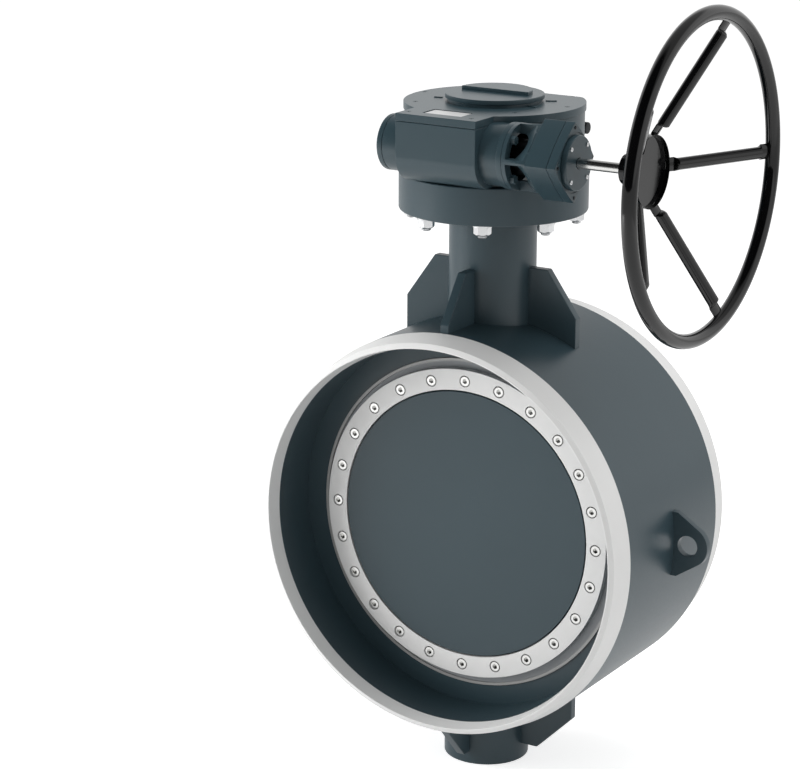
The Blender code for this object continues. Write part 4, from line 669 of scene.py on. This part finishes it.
washer = lathe("washer_pattern", [(0.0065, NUT_TOP), (WASHER_RADIUS, NUT_TOP),
                                  (WASHER_RADIUS, WASHER_TOP), (0.0065, WASHER_TOP)],
               Vector(), UP, 48)
thread = [(0, STUD_END), (0.0050, STUD_END)]
for turn in range(3):
    crest = STUD_END + 0.0008 + turn * THREAD_PITCH
    thread += [(THREAD_CREST, crest), (THREAD_ROOT, crest + THREAD_PITCH / 2)]
thread += [(0.0059, 0.3870), (0.0059, WASHER_TOP - 0.0006), (0, WASHER_TOP - 0.0006)]
stud = lathe("stud_pattern", thread, Vector(), UP, 32)
for index in range(STUD_COUNT):
    turn = 2 * math.pi * (index + 0.5) / STUD_COUNT
    spot = Vector((math.cos(turn), math.sin(turn), 0)) * STUD_CIRCLE
    spin = Matrix.Rotation(turn + NUT_TURN, 4, "Z")
    for name, made in (("flange_nut", nut), ("flange_washer", washer), ("flange_stud", stud)):
        piece = made.copy()
        piece.data = made.data.copy()
        piece.name = f"{name}_{index + 1}"
        bpy.context.collection.objects.link(piece)
        piece.data.transform(Matrix.Translation(spot) @ spin)
        dress(piece, "valve", [zinc])
bpy.data.objects.remove(nut)
bpy.data.objects.remove(washer)
bpy.data.objects.remove(stud)

# Gearbox --------------------------------------------------------------------------------------
# A cast-iron housing for the worm and its wheel, closed by a cover that carries the position
# indicator. Both are painted like the body, over the slightly rough skin of the sand casting.

# Satin enamel over sand-cast iron: nearly the same blue-grey, over a finer and deeper grain.
cast_enamel = painted("satin_enamel_on_cast_iron", "2E4047", "34464D", 0.32, 2.0, 0.10)
WORM_AXIS = Vector((0, -0.098, 0.4885))
ALONG_WORM = Vector((1, 0, 0))
EAST = Vector((1, 0, 0))
NORTH = Vector((0, 1, 0))
BOX_BOTTOM = FLANGE_TOP + 0.0003
BOX_SEAM = 0.5242
COVER_BOTTOM = BOX_SEAM + 0.0003
COVER_TOP = 0.534
CASE_RADIUS = 0.1125
COVER_RADIUS = 0.114
CASE_CORNER = 0.015
BOX_LEFT, BOX_RIGHT, BOX_FRONT = -0.0575, 0.055, -0.143
BOX_ROUND = 0.035


def gearbox_outline(radius, bottom):
    """A circle cut flat at the back, with round corners there."""
    corner_y = 0.065
    corner_x = math.sqrt((radius - CASE_CORNER) ** 2 - corner_y ** 2)
    lean = math.degrees(math.atan2(corner_y, corner_x))
    level = UP * bottom
    right = level + Vector((corner_x, corner_y, 0))
    left = level + Vector((-corner_x, corner_y, 0))
    outline = arc(level, radius, 180 - lean, 360 + lean, 96, EAST, NORTH)
    outline += arc(right, CASE_CORNER, lean, 90, 8, EAST, NORTH)[1:]
    outline += arc(left, CASE_CORNER, 90, 180 - lean, 8, EAST, NORTH)[:-1]
    return outline


case = slab("gear_case", gearbox_outline(CASE_RADIUS, BOX_BOTTOM), UP * (BOX_SEAM - BOX_BOTTOM))
soften(case, 0.0012)
dress(case, "valve", [cast_enamel], ["gear_housing"])

side_outline = [Vector((BOX_LEFT, -0.03, BOX_SEAM)), Vector((BOX_LEFT, -0.03, BOX_BOTTOM))]
side_outline += arc(Vector((BOX_LEFT, BOX_FRONT + BOX_ROUND, BOX_BOTTOM + BOX_ROUND)), BOX_ROUND,
                    -90, -180, 16, NORTH, UP)
side_outline.append(Vector((BOX_LEFT, BOX_FRONT, BOX_SEAM)))
worm_box = slab("worm_case", side_outline, EAST * (BOX_RIGHT - BOX_LEFT))
soften(worm_box, 0.0012)
dress(worm_box, "valve", [cast_enamel])

END_RADIUS = 0.035
END_SEAM = -0.083
end_boss = lathe("worm_end_boss", [(0, END_SEAM), (END_RADIUS, END_SEAM), (END_RADIUS, -0.05),
                                   (0, -0.05)], WORM_AXIS, ALONG_WORM, 96)
soften(end_boss, 0.0008)
dress(end_boss, "valve", [cast_enamel])
end_cap = lathe("worm_end_cover", [(0, -0.0923), (0.032, -0.0923), (END_RADIUS, -0.0903),
                                   (END_RADIUS, END_SEAM - 0.0003), (0, END_SEAM - 0.0003)],
                WORM_AXIS, ALONG_WORM, 96)
soften(end_cap, 0.0012)
dress(end_cap, "valve", [cast_enamel], ["worm_end_cap"])
NECK_END = 0.088
NECK_COLLAR = 0.041
neck = lathe("worm_neck", [(0, 0.05), (0.0385, 0.05), (0.0385, 0.0798), (NECK_COLLAR, 0.0804),
                           (NECK_COLLAR, NECK_END), (0, NECK_END)], WORM_AXIS, ALONG_WORM, 96)
soften(neck, 0.0008)
dress(neck, "valve", [cast_enamel])

cover_rise = UP * (COVER_TOP - COVER_BOTTOM)
cover = slab("gear_case_cover", gearbox_outline(COVER_RADIUS, COVER_BOTTOM), cover_rise)
lid_outline = [Vector((x, y, COVER_BOTTOM)) for x, y in
               ((BOX_LEFT, BOX_FRONT), (BOX_RIGHT, BOX_FRONT), (BOX_RIGHT, -0.05),
                (BOX_LEFT, -0.05))]
lid = slab("worm_case_cover", lid_outline, cover_rise)
apply_modifier(cover, "BOOLEAN", operation="UNION", solver="EXACT", object=lid)
bpy.data.objects.remove(lid)
soften(cover, 0.0012)
PLATE_FLOOR = COVER_TOP - 0.0012
recess_outline = [Vector((x, y, PLATE_FLOOR)) for x, y in
                  ((-0.0305, -0.124), (0.024, -0.124), (0.024, -0.095), (-0.0305, -0.095))]
subtract(cover, slab("plate_recess", recess_outline, UP * 0.003))
DIAL_SEAT_RADIUS = 0.059
DIAL_SEAT_TOP = 0.5376
boss = lathe("indicator_seat", [(0, 0.530), (DIAL_SEAT_RADIUS, 0.530),
                                (DIAL_SEAT_RADIUS, DIAL_SEAT_TOP), (0, DIAL_SEAT_TOP)],
             Vector(), UP, 128)
soften(boss, 0.0012)
dress(boss, "valve", [cast_enamel])

COVER_SCREWS = ((-0.105, 0.006), (-0.078, -0.062), (-0.0485, -0.1265), (0.041, -0.1286),
                (0.065, -0.065), (0.099, 0.006), (0.070, 0.077), (-0.070, 0.077))
for index, (x, y) in enumerate(COVER_SCREWS):
    spot = Vector((x, y, COVER_TOP))
    subtract(cover, lathe("screw_hole", [(0, -0.0012), (0.0033, -0.0012), (0.0033, 0.002),
                                         (0, 0.002)], spot, UP, 24))
    head = lathe(f"cover_screw_{index + 1}", [(0, -0.0012), (0.0029, -0.0012), (0.0029, -0.0002),
                                              (0, -0.0002)], spot, UP, 24)
    subtract(head, lathe("screw_socket", [(0, -0.0009), (0.0013, -0.0009), (0.0013, 0.001),
                                          (0, 0.001)], spot, UP, 6))
    dress(head, "valve", [cast_enamel])
TRAVEL_MARKS = ((-164, 0.067, 0.078), (27, 0.063, 0.077), (-16, 0.060, 0.073))
for index, (turn, near, far) in enumerate(TRAVEL_MARKS):
    out = Vector((math.cos(math.radians(turn)), math.sin(math.radians(turn)), 0))
    across = Vector((-out.y, out.x, 0))
    bar_outline = [out * reach + across * offset + UP * (COVER_TOP - 0.0005)
                   for reach, offset in ((near, -0.002), (far, -0.002), (far, 0.002),
                                         (near, 0.002))]
    bar = slab(f"travel_mark_{index + 1}", bar_outline, UP * 0.0017)
    soften(bar, 0.0004)
    dress(bar, "valve", [cast_enamel])
dress(cover, "valve", [cast_enamel], ["gear_cover"])

DIAL_RADIUS = 0.062
DIAL_BOTTOM = DIAL_SEAT_TOP + 0.0003
DIAL_TOP = 0.5438
dial = lathe("indicator_dial", [(0, DIAL_BOTTOM), (DIAL_RADIUS, DIAL_BOTTOM),
                                (DIAL_RADIUS, DIAL_TOP), (0, DIAL_TOP)], Vector(), UP, 128)
soften(dial, 0.001)
dress(dial, "disc_and_stem", [cast_enamel], ["position_indicator"])
pointer = slab("indicator_pointer", arc(Vector((0, -0.001, 0.543)), 0.0475, 0, 180, 48, EAST,
                                        NORTH), UP * 0.0055)
soften(pointer, 0.0008)
dress(pointer, "disc_and_stem", [cast_enamel])

# Brushed aluminium, left bare: almost white with fine straight lines.
brushed_aluminium, tree, output = new_material("brushed_aluminium")
place = add(tree, "ShaderNodeTexCoord").outputs["Object"]
drawn = add(tree, "ShaderNodeMapping", {"Vector": place, "Scale": (20, 900, 900)})
brush = add(tree, "ShaderNodeTexNoise", {"Vector": drawn.outputs[0], "Scale": 1.0})
sheen = add(tree, "ShaderNodeMapRange", {"Value": brush.outputs["Fac"], 3: 0.3, 4: 0.5})
tone = add(tree, "ShaderNodeMix", {"Factor": brush.outputs["Fac"], 6: linear("E4E4E4"),
                                   7: linear("F2F2F2")}, data_type="RGBA")
shader = add(tree, "ShaderNodeBsdfPrincipled", {"Base Color": tone.outputs[2], "Metallic": 1.0,
                                                "Roughness": sheen.outputs[0]})
tree.links.new(shader.outputs[0], output.inputs["Surface"])
plate_outline = [Vector((x, y, PLATE_FLOOR)) for x, y in
                 ((-0.0285, -0.1225), (0.0225, -0.1225), (0.0225, -0.0965), (-0.0285, -0.0965))]
nameplate = slab("blank_nameplate", plate_outline, UP * 0.0007)
soften(nameplate, 0.0002, 1)
dress(nameplate, "valve", [brushed_aluminium])

# Black-oxide steel: almost black with a soft shine.
black_oxide = turned_steel("black_oxide_steel", "2A2C2E", "333537", 0.38, 1.0, Vector(), UP)
STOP_RADIUS = 0.0075
STOP_END = 0.0965
stop = lathe("stop_screw_head", [(0, 0.080), (STOP_RADIUS, 0.080), (STOP_RADIUS, STOP_END),
                                 (0, STOP_END)], Vector((0, 0.0675, 0.498)), ALONG_WORM, 32)
soften(stop, 0.001)
dress(stop, "valve", [black_oxide], ["stop_screw"])

# Lantern bracket and planetary gearhead -------------------------------------------------------
# A cast bracket carries the diamond-shaped planetary gearhead. Four pockets between its ribs make
# room for its bolts. The input shaft leaves through a round bearing cover with four screws.

HALF_DIAGONAL = 0.0495
SIDE_RISE = 0.0025
BRACKET_START, RIBS_START, BRACKET_END = 0.0883, 0.0935, 0.1242
BRACKET_SETBACK = 0.007
BRACKET_BORE = 0.029
RIB_HALF = 0.003
POCKET_LENGTH = 0.0285
POCKET_DEEP, POCKET_SHALLOW = 0.023, 0.0455
GEARHEAD_BACK, GEARHEAD_SEAM, GEARHEAD_FRONT = 0.1245, 0.154, 0.166


def diamond(half_diagonal, count=96):
    """Outline of a square on its corner with slightly bulging sides, from the worm's axis."""
    half_side = half_diagonal / math.sqrt(2)
    bend = (half_side ** 2 + SIDE_RISE ** 2) / (2 * SIDE_RISE)
    half_bend = math.degrees(math.asin(half_side / bend))
    back = bend - half_side - SIDE_RISE
    outline = []
    for turn in (45, 135, 225, 315):
        middle = (NORTH * math.cos(math.radians(turn)) + UP * math.sin(math.radians(turn))) * -back
        outline += arc(middle, bend, turn - half_bend, turn + half_bend, count // 4, NORTH,
                       UP)[:-1]
    return outline


def diamond_plate(name, back, front):
    """A plate with the gearhead's outline, between two places on the worm's axis."""
    outline = [WORM_AXIS + point + EAST * back for point in diamond(HALF_DIAGONAL)]
    return slab(name, outline, EAST * (front - back))


end_shape = diamond(HALF_DIAGONAL - BRACKET_SETBACK)
round_shape = [point.normalized() * NECK_COLLAR for point in end_shape]
sections = [(BRACKET_START, 0), (RIBS_START, 0)]
sections += [(RIBS_START + (BRACKET_END - RIBS_START) * step / 6, step / 6)
             for step in range(1, 7)]
first = [WORM_AXIS + point + EAST * sections[0][0] for point in round_shape]
bracket = edit_new("cast_bracket", first[0])
draw(first + [first[0]])
bpy.ops.mesh.select_all(action="SELECT")
bpy.ops.mesh.remove_doubles(threshold=0.000002)
bpy.ops.mesh.edge_face_add()
for here, there in zip(sections, sections[1:]):
    bpy.ops.mesh.extrude_region_move(TRANSFORM_OT_translate={"value": EAST * (there[0] - here[0])})
close_up()
for vertex in bracket.data.vertices:
    share = min((share for x, share in sections if abs(x - vertex.co.x) < 0.0005), default=0)
    flat = Vector((0, vertex.co.y, vertex.co.z)) - Vector((0, WORM_AXIS.y, WORM_AXIS.z))
    best = min(range(len(round_shape)), key=lambda spot: (round_shape[spot] - flat).length)
    grown = round_shape[best].lerp(end_shape[best], share)
    vertex.co = WORM_AXIS + grown + EAST * vertex.co.x
subtract(bracket, lathe("bracket_bore", [(0, 0.08), (BRACKET_BORE, 0.08), (BRACKET_BORE, 0.13),
                                         (0, 0.13)], WORM_AXIS, ALONG_WORM, 64))
for y_side, z_side in ((1, 1), (-1, 1), (-1, -1), (1, -1)):
    outline = [WORM_AXIS + EAST * RIBS_START + NORTH * y_side * y + UP * z_side * z for y, z in
               ((RIB_HALF, POCKET_DEEP), (POCKET_DEEP, RIB_HALF), (0.06, RIB_HALF), (0.06, 0.06),
                (RIB_HALF, 0.06))]
    window = slab("window", outline, EAST * POCKET_LENGTH)
    for vertex in window.data.vertices:
        flat = vertex.co - WORM_AXIS
        if flat.x < RIBS_START + POCKET_LENGTH / 2:
            continue
        if abs(abs(flat.y) - POCKET_DEEP) < 0.0001:
            flat.y = y_side * POCKET_SHALLOW
        if abs(abs(flat.z) - POCKET_DEEP) < 0.0001:
            flat.z = z_side * POCKET_SHALLOW
        vertex.co = WORM_AXIS + flat
    subtract(bracket, window)
soften(bracket, 0.0007, 2, 45)
dress(bracket, "valve", [cast_enamel], ["lantern_bracket"], 40)
SLEEVE_BORE, SLEEVE_RADIUS, SLEEVE_END = 0.0130, 0.022, 0.122
inner_tube = lathe("bracket_sleeve", [(SLEEVE_BORE, 0.0885), (SLEEVE_RADIUS, 0.0885),
                                      (SLEEVE_RADIUS, SLEEVE_END), (SLEEVE_BORE, SLEEVE_END)],
                   WORM_AXIS, ALONG_WORM, 48)
dress(inner_tube, "valve", [black_oxide])
BOLT_CIRCLE = 0.0335
BOLT_CORNERS = 0.0058
for index, turn in enumerate((45, 135, 225, 315)):
    spot = WORM_AXIS + (NORTH * math.cos(math.radians(turn))
                        + UP * math.sin(math.radians(turn))) * BOLT_CIRCLE
    bolt = lathe(f"bracket_bolt_{index + 1}", [(0, 0.0936), (BOLT_CORNERS, 0.0936),
                                               (BOLT_CORNERS, 0.0996), (0, 0.0996)], spot,
                 ALONG_WORM, 6)
    soften(bolt, 0.0005)
    dress(bolt, "valve", [cast_enamel])

head_case = diamond_plate("gearhead_case", GEARHEAD_BACK, GEARHEAD_SEAM - 0.0003)
soften(head_case, 0.0008)
dress(head_case, "valve", [cast_enamel], ["gearhead_housing"], 40)
head_cover = diamond_plate("gearhead_front", GEARHEAD_SEAM, GEARHEAD_FRONT)
soften(head_cover, 0.0008)
RECESS_FLOOR = GEARHEAD_FRONT - 0.0012
subtract(head_cover, lathe("cover_seat", [(0, RECESS_FLOOR), (0.0368, RECESS_FLOOR), (0.0368, 0.17),
                                          (0, 0.17)], WORM_AXIS, ALONG_WORM, 96))
dress(head_cover, "valve", [cast_enamel], ["gearhead_cover"], 40)
ROUND_BORE, ROUND_RADIUS, ROUND_FACE = 0.0071, 0.0335, 0.172
round_cover = lathe("input_bearing_cover", [(ROUND_BORE, RECESS_FLOOR + 0.0003),
                                            (ROUND_RADIUS, RECESS_FLOOR + 0.0003),
                                            (ROUND_RADIUS, 0.1712), (0.0327, ROUND_FACE),
                                            (ROUND_BORE, ROUND_FACE)], WORM_AXIS, ALONG_WORM, 96)
soften(round_cover, 0.0006)
dress(round_cover, "valve", [cast_enamel], ["bearing_cover"])
CASE_SCREW_CIRCLE = 0.0425
for index, turn in enumerate((0, 90, 180, 270)):
    spot = WORM_AXIS + (NORTH * math.cos(math.radians(turn))
                        + UP * math.sin(math.radians(turn))) * CASE_SCREW_CIRCLE
    head = lathe(f"gearhead_screw_{index + 1}", [(0, 0.165), (0.0022, 0.165), (0.0022, 0.1668),
                                                 (0, 0.1668)], spot, ALONG_WORM, 24)
    soften(head, 0.0004)
    dress(head, "valve", [black_oxide])
ROUND_SCREW_Y, ROUND_SCREW_Z = 0.020, 0.0198
for index, (y_side, z_side) in enumerate(((1, 1), (-1, 1), (-1, -1), (1, -1))):
    spot = WORM_AXIS + NORTH * y_side * ROUND_SCREW_Y + UP * z_side * ROUND_SCREW_Z
    head = lathe(f"bearing_cover_screw_{index + 1}", [(0, 0.171), (0.0027, 0.171),
                                                      (0.0027, 0.1731), (0, 0.1731)], spot,
                 ALONG_WORM, 24)
    subtract(head, lathe("screw_socket", [(0, 0.1722), (0.0013, 0.1722), (0.0013, 0.175),
                                          (0, 0.175)], spot, ALONG_WORM, 6))
    soften(head, 0.0005)
    dress(head, "valve", [zinc])

# Handwheel and its shaft ----------------------------------------------------------------------
# A ground stainless shaft, and a handwheel of steel tube: a round rim, five spokes pressed flat
# at their ends and a turned hub, welded together and dipped in gloss black enamel.

shaft_steel = turned_steel("ground_shaft_steel", "D0D0CE", "DEDEDC", 0.22, 0.8, WORM_AXIS,
                           ALONG_WORM)
SHAFT_RADIUS = 0.0065
SHAFT_END = 0.2577
shaft = lathe("handwheel_shaft", [(0, 0.150), (SHAFT_RADIUS, 0.150), (SHAFT_RADIUS, SHAFT_END),
                                  (0, SHAFT_END)], WORM_AXIS, ALONG_WORM, 64)
soften(shaft, 0.0006)
dress(shaft, "handwheel_and_shaft", [shaft_steel], ["input_shaft"])

# Gloss enamel: deep black with sharp, bright reflections.
gloss_black = painted("gloss_black_enamel", "040405", "070708", 0.07, 6.0, 0.01)
RIM_RADIUS = 0.191
RIM_TUBE = 0.009
RIM_CENTRE = WORM_AXIS + EAST * 0.336
bpy.ops.object.select_all(action="DESELECT")
bpy.ops.mesh.primitive_torus_add(major_radius=RIM_RADIUS, minor_radius=RIM_TUBE,
                                 major_segments=160, minor_segments=24, location=RIM_CENTRE,
                                 rotation=(0, math.pi / 2, 0))
rim = bpy.context.object
rim.name = "wheel_rim"
bpy.ops.object.transform_apply(location=True, rotation=True)
dress(rim, "handwheel_and_shaft", [gloss_black], ["handwheel"], 60)

# Each spoke runs outwards and forwards from the hub to the rim. Its foot is a list of sections:
# how far along the spoke, half the width, half the thickness, and how far it is pressed back.
SPOKE_START, SPOKE_END = (0.2655, 0.0420), (0.3355, 0.184)
SPOKE_TURN = 0.6
TUBE_RADIUS = 0.0074
foot = ((0.0, 0.0078, 0.0020, 0.003), (0.0015, 0.0084, 0.0024, 0.003),
        (0.0130, 0.0086, 0.0025, 0.003), (0.0137, 0.0086, 0.0036, 0.002),
        (0.0150, 0.0080, 0.0055, 0.0008), (0.0175, TUBE_RADIUS, TUBE_RADIUS, 0.0))
for index in range(5):
    turn = math.radians(SPOKE_TURN + 72 * index)
    out = NORTH * math.cos(turn) + UP * math.sin(turn)
    start = WORM_AXIS + EAST * SPOKE_START[0] + out * SPOKE_START[1]
    end = WORM_AXIS + EAST * SPOKE_END[0] + out * SPOKE_END[1]
    run = (end - start).normalized()
    length = (end - start).length
    wide = run.cross(EAST).normalized()
    thin = wide.cross(run).normalized()
    sections = list(foot) + [(length - along, half_wide * 1.12, half_thin, sunk)
                             for along, half_wide, half_thin, sunk in reversed(foot[:-1])]
    sections.insert(len(foot), (length - foot[-1][0], *foot[-1][1:]))
    bpy.ops.object.select_all(action="DESELECT")
    bpy.ops.mesh.primitive_circle_add(vertices=28, radius=1, fill_type="NGON",
                                      enter_editmode=True)
    spoke = bpy.context.object
    spoke.name = f"wheel_spoke_{index + 1}"
    for _ in sections[1:]:
        bpy.ops.mesh.extrude_region_move(TRANSFORM_OT_translate={"value": (0, 0, 1)})
    close_up()
    for vertex in spoke.data.vertices:
        along, half_wide, half_thin, sunk = sections[round(vertex.co.z)]
        vertex.co = (start + run * along + wide * half_wide * vertex.co.x
                     + thin * (half_thin * vertex.co.y - sunk))
    bpy.ops.object.mode_set(mode="EDIT")
    close_up()
    dress(spoke, "handwheel_and_shaft", [gloss_black], smooth=50)

# The hub is a short boss on the shaft and a shallow cup, closed in front of the shaft's end.
WHEEL_BORE, BOSS_RADIUS, CUP_RADIUS = 0.0067, 0.018, 0.044
BOSS_START, CUP_BACK, CUP_FLOOR, CUP_LIP = 0.2330, 0.2580, 0.2640, 0.270
hub_profile = [(0, 0.2590), (WHEEL_BORE, 0.2590), (WHEEL_BORE, BOSS_START),
               (BOSS_RADIUS, BOSS_START), (BOSS_RADIUS, 0.2560), (0.0195, CUP_BACK),
               (CUP_RADIUS, CUP_BACK), (CUP_RADIUS, CUP_LIP), (0.0433, CUP_LIP),
               (0.0430, CUP_FLOOR), (0, CUP_FLOOR)]
wheel_hub = lathe("wheel_hub", hub_profile, WORM_AXIS, ALONG_WORM, 96)
soften(wheel_hub, 0.0003)
dress(wheel_hub, "handwheel_and_shaft", [gloss_black])
